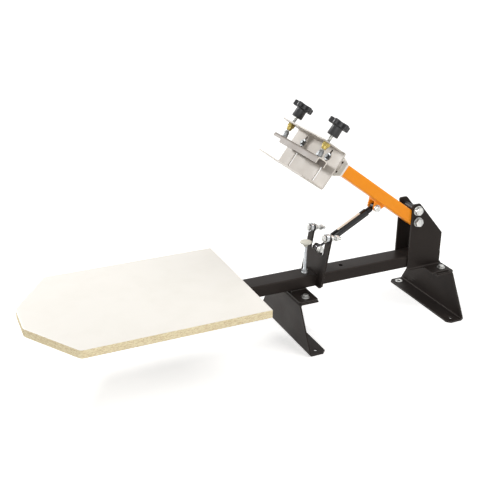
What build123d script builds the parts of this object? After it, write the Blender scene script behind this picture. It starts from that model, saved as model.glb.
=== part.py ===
"""Tabletop screen printing press, one colour and one station, in millimetres.

Frame: +Z up, z = 0 on the bench, origin at the centre of the four bench bolts.
-X points to the front, where the pallet is, and -Y to the side called near.
The print arm is drawn raised against its stop: u runs along the arm from its
pivot to the clamp head, h stands square to the arm, and y is the bench's own Y.
"""

from build123d import *
from math import cos, radians, sin, tan
import os

os.makedirs("parts", exist_ok=True)

# ---- Clearances
fit_gap = 0.1            # screw or shaft in the hole that holds it
running_gap = 0.3        # faces that pass each other when something moves
washer_gap = 0.2         # washer bore round its bolt

# ---- Bench legs: two folded C brackets with their open sides facing each other
bench_pitch_x = 385.0
bench_pitch_y = 224.0
bench_hole_radius = 4.5
leg_hole_inset = 25.0    # hole centre behind the web's outer face
leg_sheet = 4.0
leg_bend = 3.0           # inside radius of the folds
leg_height = 110.0
leg_foot_depth = 45.0
leg_flange_depth = 49.0
leg_foot_half = 130.0
leg_top_half = 76.0
leg_foot_corner = 9.0

# ---- Plates between the legs and the base tube
saddle_sheet = 4.0
saddle_corner = 6.0
pad_thickness = 6.0
pad_length = 40.0
leg_bolt_pitch = 110.0

# ---- Base tube
tube_width = 50.0
tube_height = 30.0
tube_wall = 2.5
tube_corner = 4.0
tube_rear_setback = 10.8   # tube end in front of the rear leg's outer face
tube_under_pallet = 330.0
tube_hole_radius = 5.5
tube_hole_behind_leg = 150.2
plug_flange = 3.0
plug_depth = 14.0
plug_wall = 3.0

# ---- Pallet
pallet_length = 500.0
pallet_width = 350.0
pallet_thickness = 19.0
pallet_nose_width = 90.0
pallet_nose_length = 87.0
pallet_corner = 12.0
pallet_behind_leg = 120.8  # pallet's rear edge in front of the front leg
pallet_plate_length = 260.0
pallet_plate_width = 140.0
pallet_plate_sheet = 3.0
pallet_screw_pitch_x = 220.0
pallet_screw_pitch_y = 110.0
pallet_screw_depth = 13.0

# ---- Uprights and arm pivot
upright_sheet = 4.0
upright_gap = 0.4          # beside the arm
upright_front_setback = 107.8   # in front of the rear leg's outer face
upright_rear_setback = 12.8
upright_height = 176.0
upright_top_length = 21.0
upright_shoulder = 88.6
upright_flange_half = 72.0
upright_flange_length = 50.0
upright_round = 4.0
pivot_setback = 89.7
pivot_rise = 128.8         # above the rear saddle
raised_angle = 36.8

# ---- Arm
arm_width = 50.0
arm_height = 30.0
arm_wall = 2.5
arm_corner = 4.0
arm_length = 267.0
arm_tail = 21.0
arm_bush_radius = 9.0
end_plate_sheet = 5.0
end_plate_half_width = 27.0
end_plate_shoulder = 15.0
end_plate_half_height = 25.0
end_plate_corner = 2.5
end_plate_hole_radius = 2.2
end_plate_hole_h = 12.5     # holes lie round the link, this far up and across
end_plate_hole_y = 7.5
up_stop_u = 20.9
up_stop_radius = 7.0

# ---- Fasteners
m12_radius = 6.0
m12_flats = 19.0
m12_head = 7.5
m12_nut = 10.0
m12_washer_radius = 12.0
m12_washer = 2.5
m8_radius = 4.0
m8_flats = 13.0
m8_head = 5.3
m8_nut = 6.8
m8_washer_radius = 10.0
m8_washer = 1.6
m6_radius = 3.0
m6_flats = 10.0
m6_head = 4.0
m6_nut = 5.0
m6_washer_radius = 9.0
m6_washer = 1.6
thread_past_nut = 3.0
wood_screw_radius = 2.5
wood_screw_head_radius = 5.0
wood_screw_head = 2.6

# ---- Gas spring
spring_top_u = 118.0
spring_top_h = -29.0
spring_base_behind = 12.5  # lower pivot, behind the gate's front at its foot
spring_base_rise = 58.0    # above the base tube
spring_lug_half = 14.0
spring_lug_sheet = 4.0
spring_lug_round = 9.0
spring_lug_root = 34.0
spring_tube_radius = 9.5
spring_tube_wall = 0.9
spring_rod_radius = 3.0
spring_rod_shows = 38.0    # pivot to tube mouth, arm raised
spring_rod_inside = 48.0
spring_eye_radius = 7.5
spring_eye_width = 12.0
spring_fitting_length = 26.0
spring_fitting_radius = 7.0
spring_fitting_reach = 14.0
spring_cap_height = 4.0
spring_blade_start = 6.0
spring_ear_foot = 8.0      # lower ears start this far up the gate
spring_ear_depth = 10.0
spring_neck_radius = 5.5
spring_neck_length = 9.5

# ---- Registration gate
gate_sheet = 5.0
gate_lean = 9.5
gate_behind_leg = 71.7     # front face at the top of the base tube
gate_half_width = 50.0
gate_leg_length = 29.0
gate_top = 103.0           # along the plate, from the tube's top
gate_notch_bottom = 49.0
gate_notch_half = 30.0
gate_round = 8.0
roller_radius = 11.0
roller_width = 7.0
roller_pitch = 75.0
roller_up = 96.5           # along the plate, from the tube's top
roller_bolt_behind = 31.0

# ---- Down stop
stop_behind_leg = 51.2
stop_rod_end = 14.0        # below the tube's top
stop_cap_radius = 14.0
stop_cap_height = 15.0
stop_cap_skirt = 6.0
stop_cap_taper = 3.0
stop_cap_crown = 3.0
stop_neck_wall = 2.0
stop_nut_flange_radius = 9.0
stop_nut_flange = 2.0

# ---- Clamp head
link_radius = 10.0
link_length = 70.0
bracket_sheet = 5.0
bracket_half_width = 70.0
bracket_half_height = 26.0
bracket_corner = 8.0
clamp_sheet = 3.0
clamp_bend = 2.0
clamp_half_width = 105.0
clamp_top_half_width = 93.0
clamp_top_h = 25.7
clamp_jaw_h = -68.0
clamp_top_depth = 60.6
clamp_jaw_depth = 62.0
slot_y = 57.0
slot_radius = 3.4
slot_top_h = 20.0
slot_bottom_h = -62.0
slot_bolt_h = 1.0
jaw_hole_y = 11.0
jaw_hole_radius = 2.2

# ---- Pressing bar and its screws
screw_depth = 41.2         # screw axis in front of the clamp's back face
screw_y = 81.0
bar_half_length = 104.0
bar_width = 27.0
bar_height = 15.0
bar_sheet = 2.5
bar_bend = 2.5
bar_notch_length = 19.0    # the front flange is cut away at both ends
bar_notch_height = 6.0
bar_top_h = -12.0
bush_flats = 16.5
bush_hex = 8.0
bush_cone = 8.0
bush_tip_radius = 5.5
bush_shoulder_radius = 7.0
dome_radius = 6.5
dome_height = 15.0
dome_hex = 6.0
dome_neck = 8.5            # the dome starts to close in here
dome_mouth = 4.6           # radius where the dome meets its screw
retainer_radius = 7.0
retainer_thickness = 2.0
knob_hub_h = 41.0
knob_hub_radius = 13.0
knob_hub_height = 22.0
knob_head_height = 13.0
knob_radius = 26.0
knob_lobes = 5
knob_lobe_radius = 8.3
knob_valley_radius = 8.8
knob_valley_reach = 6.5    # valley centres lie this far outside the lobe centres
knob_round = 2.5
knob_hub_recess = 12.0

# ---- Places worked out from the sizes above
leg_face_x = bench_pitch_x / 2 + leg_hole_inset
front_leg_x = -leg_face_x
saddle_z = leg_height
pad_z = saddle_z + saddle_sheet
tube_bottom = pad_z + pad_thickness
tube_top = tube_bottom + tube_height
tube_mid = (tube_bottom + tube_top) / 2
tube_rear_x = leg_face_x - tube_rear_setback
pallet_rear_x = front_leg_x - pallet_behind_leg
tube_front_x = pallet_rear_x - tube_under_pallet
pallet_bottom = tube_top + pallet_plate_sheet
pallet_plate_x = tube_front_x + pallet_plate_length / 2
upright_inner = arm_width / 2 + upright_gap
upright_outer = upright_inner + upright_sheet
upright_front_x = leg_face_x - upright_front_setback
upright_rear_x = leg_face_x - upright_rear_setback
upright_top_z = pad_z + upright_height
upright_shoulder_z = pad_z + upright_shoulder
pivot_x = leg_face_x - pivot_setback
pivot_z = pad_z + pivot_rise
gate_front_x = front_leg_x + gate_behind_leg
stop_x = front_leg_x + stop_behind_leg
tube_hole_x = front_leg_x + tube_hole_behind_leg

# Arm frame, raised: three planes through the pivot
rise = radians(raised_angle)
arm_pivot = Vector(pivot_x, 0, pivot_z)
along = Vector(-cos(rise), 0, sin(rise))
square = Vector(sin(rise), 0, cos(rise))
near = Vector(0, -1, 0)
far = Vector(0, 1, 0)
head_u = arm_length + end_plate_sheet + link_length
clamp_back_u = head_u + bracket_sheet
screw_u = clamp_back_u + screw_depth
up_stop_h = arm_height / 2 + up_stop_radius + running_gap


def arm_point(u, h, y=0.0):
    """Point given in the raised arm's own sizes."""
    return arm_pivot + along * u + square * h + far * y


def arm_side(y=0.0):
    """Plane beside the arm: its x is u, its y is h, and it faces the far side."""
    return Plane(origin=arm_point(0, 0, y), x_dir=along, z_dir=far)


def arm_across(u):
    """Plane across the arm: its x runs to the near side, its y is h."""
    return Plane(origin=arm_point(u, 0), x_dir=near, z_dir=along)


def arm_level(h):
    """Plane along the top of the arm at height h: its x is u, its y is near."""
    return Plane(origin=arm_point(0, h), x_dir=along, z_dir=square)


def screw_plane(y, h):
    """Plane square to a clamping screw's axis, facing its knob."""
    return Plane(origin=arm_point(screw_u, h, y), x_dir=along, z_dir=square)


def facing_near(x, y, z):
    """Upright plane at a point of the bench frame, facing the near side."""
    return Plane(origin=(x, y, z), x_dir=(1, 0, 0), z_dir=near)


def facing_up(x, y, z):
    """Level plane at a point of the bench frame."""
    return Plane(origin=(x, y, z), x_dir=(1, 0, 0), z_dir=(0, 0, 1))


def facing_down(x, y, z):
    """Level plane that faces the bench."""
    return Plane(origin=(x, y, z), x_dir=(1, 0, 0), z_dir=(0, 0, -1))


# ---- Shapes that several pieces share. Each works inside a BuildPart block.
def ring(plane, radius, height, bore=0.0):
    """Disc or ring that stands on a plane."""
    with BuildSketch(plane) as outline:
        Circle(radius)
        if bore:
            Circle(bore, mode=Mode.SUBTRACT)
    extrude(outline.sketch, amount=height)


def hexagon(plane, flats, height, bore=0.0):
    """Hexagonal prism that stands on a plane."""
    with BuildSketch(plane) as outline:
        RegularPolygon(flats / 2, 6, major_radius=False)
        if bore:
            Circle(bore, mode=Mode.SUBTRACT)
    extrude(outline.sketch, amount=height)


def hole(plane, radius, depth):
    """Round hole from a plane down into the piece."""
    with BuildSketch(plane) as outline:
        Circle(radius)
    extrude(outline.sketch, amount=-depth, mode=Mode.SUBTRACT)


def hex_bolt(seat, radius, length, flats, head):
    """Hexagon bolt whose head stands on the seat plane."""
    hexagon(seat, flats, head)
    ring(seat, radius, -length)


def box_tube(plane, width, height, corner, wall, length):
    """Rectangular tube that runs from a plane."""
    with BuildSketch(plane) as section:
        RectangleRounded(width, height, corner)
        RectangleRounded(
            width - 2 * wall, height - 2 * wall, corner - wall, mode=Mode.SUBTRACT
        )
    extrude(section.sketch, amount=length)


def folded_sheet(plane, points, bend, sheet, side, width):
    """Sheet folded along a line of points and as wide as given, about its plane."""
    with BuildSketch(plane) as section:
        with BuildLine():
            FilletPolyline(*points, radius=bend)
            offset(amount=sheet, side=side)
        make_face()
    extrude(section.sketch, amount=width / 2, both=True)


def save(builder, name):
    """Label a finished piece and write it under its name."""
    builder.part.label = name
    export_step(builder.part, "parts/" + name + ".step")


# ======== Legs ========
def bench_leg(outward):
    """C bracket: foot and top flange folded the same way from a tapered web."""
    face_x = outward * leg_face_x
    with BuildPart() as leg:
        folded_sheet(
            Plane.XZ,
            [
                (face_x - outward * leg_foot_depth, 0),
                (face_x, 0),
                (face_x, leg_height),
                (face_x - outward * leg_flange_depth, leg_height),
            ],
            leg_bend + leg_sheet,
            leg_sheet,
            Side.LEFT if outward > 0 else Side.RIGHT,
            2 * leg_foot_half,
        )
        fold = leg_bend + leg_sheet
        with BuildSketch(Plane.YZ) as taper:
            Polygon(
                (-leg_foot_half, 0),
                (leg_foot_half, 0),
                (leg_foot_half, fold),
                (leg_top_half, leg_height - fold),
                (leg_top_half, leg_height),
                (-leg_top_half, leg_height),
                (-leg_top_half, leg_height - fold),
                (-leg_foot_half, fold),
                align=None,
            )
        extrude(taper.sketch, amount=outward * (leg_face_x + 1), mode=Mode.INTERSECT)
        upright_edges = leg.edges().filter_by(Axis.Z)
        inner_x = abs(face_x) - leg_foot_depth
        free = [e for e in upright_edges if abs(abs(e.center().X) - inner_x) < 1]
        foot = [e for e in free if e.center().Z < leg_sheet]
        chamfer(foot, leg_foot_corner)
        for side in (-1, 1):
            hole_y = side * bench_pitch_y / 2
            bolt_y = side * leg_bolt_pitch / 2
            hole_x = outward * bench_pitch_x / 2
            hole(facing_up(hole_x, hole_y, leg_sheet), bench_hole_radius, leg_sheet)
            hole(
                facing_up(hole_x, bolt_y, leg_height),
                m8_radius + fit_gap,
                leg_sheet,
            )
    return leg


front_leg = bench_leg(-1)
save(front_leg, "front_leg")
rear_leg = bench_leg(1)
save(rear_leg, "rear_leg")


# ======== Saddle plates and pads under the tube ========
def saddle_plate(outward):
    """Plate across a leg's top flange, which carries the tube."""
    mid_x = outward * (leg_face_x - leg_flange_depth / 2)
    with BuildPart() as saddle:
        with BuildSketch(facing_up(mid_x, 0, saddle_z)):
            RectangleRounded(leg_flange_depth, 2 * leg_top_half, saddle_corner)
        extrude(amount=saddle_sheet)
        for side in (-1, 1):
            seat = facing_up(
                outward * bench_pitch_x / 2, side * leg_bolt_pitch / 2, pad_z
            )
            hole(seat, m8_radius + fit_gap, saddle_sheet)
    return saddle


front_saddle = saddle_plate(-1)
save(front_saddle, "front_saddle")
rear_saddle = saddle_plate(1)
save(rear_saddle, "rear_saddle")

with BuildPart() as tube_pads:
    for end in (-1, 1):
        pad_x = end * (leg_face_x - leg_flange_depth / 2)
        with BuildSketch(facing_up(pad_x, 0, pad_z)):
            Rectangle(pad_length, tube_width)
        extrude(amount=pad_thickness)
save(tube_pads, "tube_pads")

# Two bolts hold each saddle, and at the rear they pass through the uprights too
leg_bolt_seats = []
for end in (-1, 1):
    stack_top = pad_z + (upright_sheet if end > 0 else 0)
    for side in (-1, 1):
        leg_bolt_seats.append(
            (end * bench_pitch_x / 2, side * leg_bolt_pitch / 2, stack_top)
        )

with BuildPart() as leg_washers:
    for x, y, z in leg_bolt_seats:
        ring(facing_up(x, y, z), m8_washer_radius, m8_washer, m8_radius + washer_gap)
save(leg_washers, "leg_washers")

with BuildPart() as leg_bolts:
    for x, y, z in leg_bolt_seats:
        grip = z + m8_washer - (leg_height - leg_sheet)
        length = grip + m8_nut + thread_past_nut
        hex_bolt(
            facing_up(x, y, z + m8_washer), m8_radius, length, m8_flats, m8_head
        )
save(leg_bolts, "leg_bolts")

with BuildPart() as leg_nuts:
    for x, y, z in leg_bolt_seats:
        hexagon(
            facing_down(x, y, leg_height - leg_sheet),
            m8_flats,
            m8_nut,
            m8_radius + fit_gap,
        )
save(leg_nuts, "leg_nuts")

# ======== Base tube ========
with BuildPart() as base_tube:
    box_tube(
        Plane(origin=(tube_front_x, 0, tube_mid), x_dir=far, z_dir=(1, 0, 0)),
        tube_width,
        tube_height,
        tube_corner,
        tube_wall,
        tube_rear_x - tube_front_x,
    )
    hole(facing_up(tube_hole_x, 0, tube_top), tube_hole_radius, tube_height / 2)
    hole(facing_up(stop_x, 0, tube_top), m8_radius + fit_gap, tube_height / 2)
save(base_tube, "base_tube")


def tube_plug(plane, width, height, corner, wall):
    """Plastic plug: a flat cap outside a tube's end and a hollow shank in it."""
    inside_w = width - 2 * wall - 2 * fit_gap
    inside_h = height - 2 * wall - 2 * fit_gap
    with BuildSketch(plane) as cap:
        RectangleRounded(width, height, corner)
    extrude(cap.sketch, amount=plug_flange)
    with BuildSketch(plane) as shank:
        RectangleRounded(inside_w, inside_h, corner - wall)
        Rectangle(
            inside_w - 2 * plug_wall, inside_h - 2 * plug_wall, mode=Mode.SUBTRACT
        )
    extrude(shank.sketch, amount=-plug_depth)


with BuildPart() as tube_plugs:
    tube_plug(
        Plane(origin=(tube_rear_x, 0, tube_mid), x_dir=far, z_dir=(1, 0, 0)),
        tube_width,
        tube_height,
        tube_corner,
        tube_wall,
    )
    tube_plug(
        Plane(origin=(tube_front_x, 0, tube_mid), x_dir=far, z_dir=(-1, 0, 0)),
        tube_width,
        tube_height,
        tube_corner,
        tube_wall,
    )
save(tube_plugs, "tube_plugs")

# ======== Pallet on its plate ========
pallet_front_x = pallet_rear_x - pallet_length
pallet_half = pallet_width / 2
nose_half = pallet_nose_width / 2
nose_x = pallet_front_x + pallet_nose_length
screw_places = GridLocations(pallet_screw_pitch_x, pallet_screw_pitch_y, 2, 2).locations

with BuildPart() as pallet:
    with BuildSketch(facing_up(0, 0, pallet_bottom)):
        Polygon(
            (pallet_rear_x, -pallet_half),
            (pallet_rear_x, pallet_half),
            (nose_x, pallet_half),
            (pallet_front_x, nose_half),
            (pallet_front_x, -nose_half),
            (nose_x, -pallet_half),
            align=None,
        )
    extrude(amount=pallet_thickness)
    front_edges = pallet.edges().filter_by(Axis.Z).sort_by(Axis.X)[:4]
    fillet(front_edges, pallet_corner)
    for place in screw_places:
        seat = facing_down(
            pallet_plate_x + place.position.X, place.position.Y, pallet_bottom
        )
        hole(seat, wood_screw_radius + fit_gap, pallet_screw_depth + fit_gap)
save(pallet, "pallet")

with BuildPart() as pallet_plate:
    with BuildSketch(facing_up(pallet_plate_x, 0, tube_top)):
        RectangleRounded(pallet_plate_length, pallet_plate_width, saddle_corner)
        with GridLocations(pallet_screw_pitch_x, pallet_screw_pitch_y, 2, 2):
            Circle(wood_screw_radius + fit_gap, mode=Mode.SUBTRACT)
    extrude(amount=pallet_plate_sheet)
save(pallet_plate, "pallet_plate")

with BuildPart() as pallet_screws:
    for place in screw_places:
        seat = facing_down(
            pallet_plate_x + place.position.X, place.position.Y, tube_top
        )
        ring(seat, wood_screw_head_radius, wood_screw_head)
        ring(seat, wood_screw_radius, -(pallet_plate_sheet + pallet_screw_depth))
save(pallet_screws, "pallet_screws")


# ======== Uprights ========
def upright(side):
    """Side plate of the arm's pivot, with a flange folded out over the leg."""
    with BuildPart() as plate:
        folded_sheet(
            Plane.YZ.offset((upright_front_x + upright_rear_x) / 2),
            [
                (side * upright_flange_half, pad_z),
                (side * upright_inner, pad_z),
                (side * upright_inner, upright_top_z),
            ],
            leg_bend + upright_sheet,
            upright_sheet,
            Side.LEFT if side < 0 else Side.RIGHT,
            upright_rear_x - upright_front_x,
        )
        with BuildSketch(Plane.XZ) as outline:
            Polygon(
                (upright_front_x, pad_z),
                (upright_rear_x, pad_z),
                (upright_rear_x, upright_shoulder_z),
                (upright_front_x + upright_top_length, upright_top_z),
                (upright_front_x, upright_top_z),
                align=None,
            )
            fillet(outline.vertices().group_by(Axis.Y)[-1], upright_round)
        extrude(outline.sketch, amount=upright_flange_half, both=True, mode=Mode.INTERSECT)
        with BuildSketch(facing_up(upright_front_x, 0, pad_z)) as cut_back:
            with Locations((0, side * (upright_outer + upright_flange_half))):
                Rectangle(
                    2 * (upright_rear_x - upright_front_x - upright_flange_length),
                    2 * (upright_flange_half - leg_bend),
                )
        extrude(cut_back.sketch, amount=leg_bend + upright_sheet, mode=Mode.SUBTRACT)
        far_face = upright_outer + 1
        hole(
            facing_near(pivot_x, -far_face, pivot_z), m12_radius + fit_gap, 2 * far_face
        )
        stop_at = arm_point(up_stop_u, up_stop_h)
        hole(
            facing_near(stop_at.X, -far_face, stop_at.Z),
            m12_radius + fit_gap,
            2 * far_face,
        )
        hole(
            facing_up(bench_pitch_x / 2, side * leg_bolt_pitch / 2, pad_z + upright_sheet),
            m8_radius + fit_gap,
            upright_sheet,
        )
    return plate


upright_near = upright(-1)
save(upright_near, "upright_near")
upright_far = upright(1)
save(upright_far, "upright_far")

# Pivot bolt and up-stop bolt go right through both uprights
cross_bolt_places = {
    "pivot": arm_point(0, 0),
    "up_stop": arm_point(up_stop_u, up_stop_h),
}
for bolt_name, place in cross_bolt_places.items():
    with BuildPart() as cross_bolt:
        seat = facing_near(place.X, -upright_outer - m12_washer, place.Z)
        length = 2 * (upright_outer + m12_washer) + m12_nut + thread_past_nut
        hex_bolt(seat, m12_radius, length, m12_flats, m12_head)
    save(cross_bolt, bolt_name + "_bolt")

with BuildPart() as cross_bolt_washers:
    for place in cross_bolt_places.values():
        for y in (-upright_outer, upright_outer + m12_washer):
            ring(
                facing_near(place.X, y, place.Z),
                m12_washer_radius,
                m12_washer,
                m12_radius + washer_gap,
            )
save(cross_bolt_washers, "cross_bolt_washers")

with BuildPart() as cross_bolt_nuts:
    for place in cross_bolt_places.values():
        nut_y = upright_outer + m12_washer + m12_nut
        hexagon(
            facing_near(place.X, nut_y, place.Z),
            m12_flats,
            m12_nut,
            m12_radius + fit_gap,
        )
save(cross_bolt_nuts, "cross_bolt_nuts")

with BuildPart() as up_stop_sleeve:
    place = cross_bolt_places["up_stop"]
    ring(
        facing_near(place.X, upright_inner, place.Z),
        up_stop_radius,
        2 * upright_inner,
        m12_radius + fit_gap,
    )
save(up_stop_sleeve, "up_stop_sleeve")

# ======== Arm ========
with BuildPart() as arm_tube:
    box_tube(
        arm_across(-arm_tail),
        arm_width,
        arm_height,
        arm_corner,
        arm_wall,
        arm_tail + arm_length,
    )
    hole(
        facing_near(pivot_x, -arm_width / 2, pivot_z), arm_bush_radius + fit_gap, arm_width
    )
save(arm_tube, "arm_tube")

with BuildPart() as arm_bush:
    ring(
        facing_near(pivot_x, arm_width / 2, pivot_z),
        arm_bush_radius,
        arm_width,
        m12_radius + fit_gap,
    )
save(arm_bush, "arm_bush")

with BuildPart() as arm_plug:
    tube_plug(
        Plane(origin=arm_point(-arm_tail, 0), x_dir=far, z_dir=-along),
        arm_width,
        arm_height,
        arm_corner,
        arm_wall,
    )
    hole(
        facing_near(pivot_x, -arm_width / 2, pivot_z),
        arm_bush_radius + washer_gap,
        arm_width,
    )
save(arm_plug, "arm_plug")

with BuildPart() as arm_end_plate:
    with BuildSketch(arm_across(arm_length)) as outline:
        Polygon(
            (-end_plate_half_width, -end_plate_shoulder),
            (0, -end_plate_half_height),
            (end_plate_half_width, -end_plate_shoulder),
            (end_plate_half_width, end_plate_shoulder),
            (0, end_plate_half_height),
            (-end_plate_half_width, end_plate_shoulder),
            align=None,
        )
        fillet(outline.vertices(), end_plate_corner)
        with GridLocations(2 * end_plate_hole_y, 2 * end_plate_hole_h, 2, 2):
            Circle(end_plate_hole_radius, mode=Mode.SUBTRACT)
    extrude(amount=end_plate_sheet)
save(arm_end_plate, "arm_end_plate")

# ======== Gas spring ========
spring_top = arm_point(spring_top_u, spring_top_h)
spring_base = Vector(gate_front_x + spring_base_behind, 0, tube_top + spring_base_rise)
spring_length = (spring_top - spring_base).length
spring_axis = (spring_top - spring_base).normalized()
spring_bore = spring_tube_radius - spring_tube_wall
tube_mouth = spring_rod_shows
tube_length = spring_length - spring_fitting_length - spring_rod_shows


def spring_plane(distance):
    """Plane square to the gas spring, at a distance from its lower pivot."""
    return Plane(origin=spring_base + spring_axis * distance, x_dir=far, z_dir=spring_axis)


with BuildPart() as spring_lug:
    with BuildSketch(arm_side()) as ear:
        with Locations((spring_top_u, spring_top_h)):
            Circle(spring_lug_round)
        make_hull(
            [
                *ear.edges(),
                Edge.make_line(
                    (spring_top_u - spring_lug_root / 2, -arm_height / 2),
                    (spring_top_u + spring_lug_root / 2, -arm_height / 2),
                ),
            ]
        )
        with Locations((spring_top_u, spring_top_h)):
            Circle(m8_radius + fit_gap, mode=Mode.SUBTRACT)
    extrude(ear.sketch, amount=spring_lug_half, both=True)
    with BuildSketch(arm_side()) as between:
        with Locations((spring_top_u, -arm_height / 2 - spring_lug_sheet)):
            Rectangle(2 * spring_lug_root, 4 * spring_lug_root, align=(Align.CENTER, Align.MAX))
    extrude(
        between.sketch,
        amount=spring_lug_half - spring_lug_sheet,
        both=True,
        mode=Mode.SUBTRACT,
    )
save(spring_lug, "spring_lug")

with BuildPart() as spring_top_bolt:
    seat = facing_near(spring_top.X, -spring_lug_half, spring_top.Z)
    length = 2 * spring_lug_half + m8_nut + thread_past_nut
    hex_bolt(seat, m8_radius, length, m8_flats, m8_head)
save(spring_top_bolt, "spring_top_bolt")

with BuildPart() as spring_cylinder:
    with BuildSketch(spring_plane(tube_mouth)):
        Circle(spring_tube_radius)
        Circle(spring_bore, mode=Mode.SUBTRACT)
    extrude(amount=tube_length)
save(spring_cylinder, "spring_cylinder")

with BuildPart() as spring_fitting:
    tube_end = spring_plane(tube_mouth + tube_length)
    ring(tube_end, spring_tube_radius, spring_cap_height)
    ring(tube_end, spring_fitting_radius, spring_fitting_reach)
    ring(tube_end, spring_bore - fit_gap, -spring_cap_height)
    ring(
        facing_near(spring_top.X, spring_eye_width / 2, spring_top.Z),
        spring_eye_radius,
        spring_eye_width,
    )
    with BuildSketch(tube_end.offset(spring_blade_start)) as blade:
        Rectangle(spring_eye_width, spring_eye_width)
    extrude(blade.sketch, amount=spring_fitting_length - spring_blade_start)
    hole(
        facing_near(spring_top.X, -spring_eye_width, spring_top.Z),
        m8_radius + fit_gap,
        2 * spring_eye_width,
    )
save(spring_fitting, "spring_fitting")

with BuildPart() as spring_rod:
    ring(spring_plane(0), spring_rod_radius, spring_rod_shows + spring_rod_inside)
    ring(spring_plane(0), spring_neck_radius, spring_neck_length)
    ring(
        facing_near(spring_base.X, spring_eye_width / 2, spring_base.Z),
        spring_eye_radius,
        spring_eye_width,
    )
    hole(
        facing_near(spring_base.X, -spring_eye_width, spring_base.Z),
        m8_radius + fit_gap,
        2 * spring_eye_width,
    )
save(spring_rod, "spring_rod")

# ======== Registration gate ========
lean = radians(gate_lean)
gate_up = Vector(sin(lean), 0, cos(lean))
gate_back = Vector(cos(lean), 0, -sin(lean))
gate_foot = Vector(gate_front_x, 0, tube_top) + gate_up * (gate_sheet * tan(lean))


def gate_plane(behind, across=0.0, up=0.0):
    """Plane along the gate, facing forward: its x runs near, its y up the plate."""
    origin = gate_foot + gate_back * behind + gate_up * up + near * across
    return Plane(origin=origin, x_dir=near, z_dir=-gate_back)


with BuildPart() as registration_gate:
    with BuildSketch(gate_plane(gate_sheet)) as outline:
        with Locations((0, -gate_leg_length)):
            Rectangle(
                2 * gate_half_width,
                gate_leg_length + gate_top,
                align=(Align.CENTER, Align.MIN),
            )
        with Locations((0, gate_notch_bottom)):
            Rectangle(
                2 * gate_notch_half, gate_top, align=(Align.CENTER, Align.MIN),
                mode=Mode.SUBTRACT,
            )
        with Locations((0, -gate_leg_length)):
            Rectangle(
                tube_width + 2 * fit_gap, gate_leg_length, align=(Align.CENTER, Align.MIN),
                mode=Mode.SUBTRACT,
            )
        tips = outline.vertices().group_by(Axis.Y)[-1]
        fillet(tips, gate_round)
        bottom = outline.vertices().group_by(Axis.Y)[0].sort_by(Axis.X)
        chamfer([bottom[0], bottom[-1]], gate_round)
        with Locations((-roller_pitch / 2, roller_up), (roller_pitch / 2, roller_up)):
            Circle(m8_radius + fit_gap, mode=Mode.SUBTRACT)
    extrude(amount=gate_sheet)
save(registration_gate, "registration_gate")

for side, side_name in ((-1, "far"), (1, "near")):
    across = side * roller_pitch / 2
    front = gate_plane(-running_gap, across, roller_up)
    with BuildPart() as roller:
        ring(front, roller_radius, roller_width, m8_radius + fit_gap / 2)
    save(roller, "roller_" + side_name)

with BuildPart() as roller_bolts:
    for side in (-1, 1):
        across = side * roller_pitch / 2
        head_at = -(roller_width + 2 * running_gap)
        seat = gate_plane(head_at, across, roller_up)
        length = gate_sheet + roller_bolt_behind - head_at
        hex_bolt(seat, m8_radius, length, m8_flats, m8_head)
save(roller_bolts, "roller_bolts")

with BuildPart() as roller_nuts:
    for side in (-1, 1):
        across = side * roller_pitch / 2
        for behind in (gate_sheet + m8_nut, gate_sheet + roller_bolt_behind / 2 + m8_nut):
            hexagon(
                gate_plane(behind, across, roller_up), m8_flats, m8_nut, m8_radius + fit_gap
            )
save(roller_nuts, "roller_nuts")

# Ears behind the gate hold the gas spring's lower eye in the notch
bracket_side = Plane(origin=gate_foot + gate_back * gate_sheet, x_dir=gate_back, z_dir=near)
ear_at = bracket_side.to_local_coords(spring_base)
ear_face = spring_eye_width / 2 + running_gap + spring_lug_sheet
with BuildPart() as spring_bracket:
    with BuildSketch(bracket_side) as ear:
        with Locations((ear_at.X, ear_at.Y)):
            Circle(spring_lug_round)
        Polygon(
            (0, spring_ear_foot),
            (0, gate_notch_bottom),
            (ear_at.X, ear_at.Y),
            (ear_at.X + spring_lug_round, ear_at.Y),
            (spring_ear_depth, spring_ear_foot),
            align=None,
        )
        with Locations((ear_at.X, ear_at.Y)):
            Circle(m8_radius + fit_gap, mode=Mode.SUBTRACT)
    extrude(ear.sketch, amount=ear_face, both=True)
    with BuildSketch(bracket_side) as between:
        with Locations((spring_lug_sheet, 0)):
            Rectangle(gate_top, 2 * gate_top, align=(Align.MIN, Align.CENTER))
        with Locations((0, ear_at.Y)):
            Rectangle(gate_top, 3 * spring_lug_round)
    extrude(between.sketch, amount=ear_face - spring_lug_sheet, both=True, mode=Mode.SUBTRACT)
save(spring_bracket, "spring_bracket")

with BuildPart() as spring_base_bolt:
    seat = facing_near(spring_base.X, -ear_face, spring_base.Z)
    length = 2 * ear_face + m8_nut
    hex_bolt(seat, m8_radius, length, m8_flats, m8_head)
save(spring_base_bolt, "spring_base_bolt")

with BuildPart() as spring_base_nut:
    hexagon(
        facing_near(spring_base.X, ear_face + m8_nut, spring_base.Z),
        m8_flats,
        m8_nut,
        m8_radius + fit_gap,
    )
save(spring_base_nut, "spring_base_nut")

with BuildPart() as spring_top_nut:
    hexagon(
        facing_near(spring_top.X, spring_lug_half + m8_nut, spring_top.Z),
        m8_flats,
        m8_nut,
        m8_radius + fit_gap,
    )
save(spring_top_nut, "spring_top_nut")

# ======== Down stop under the link ========
stop_top = pivot_z - link_radius - running_gap
cap_bottom = stop_top - stop_cap_height
with BuildPart() as stop_rod:
    with BuildSketch(facing_up(stop_x, 0, tube_top - stop_rod_end)):
        Circle(m8_radius)
    extrude(amount=cap_bottom - (tube_top - stop_rod_end) + stop_cap_height / 2)
save(stop_rod, "stop_rod")

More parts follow.
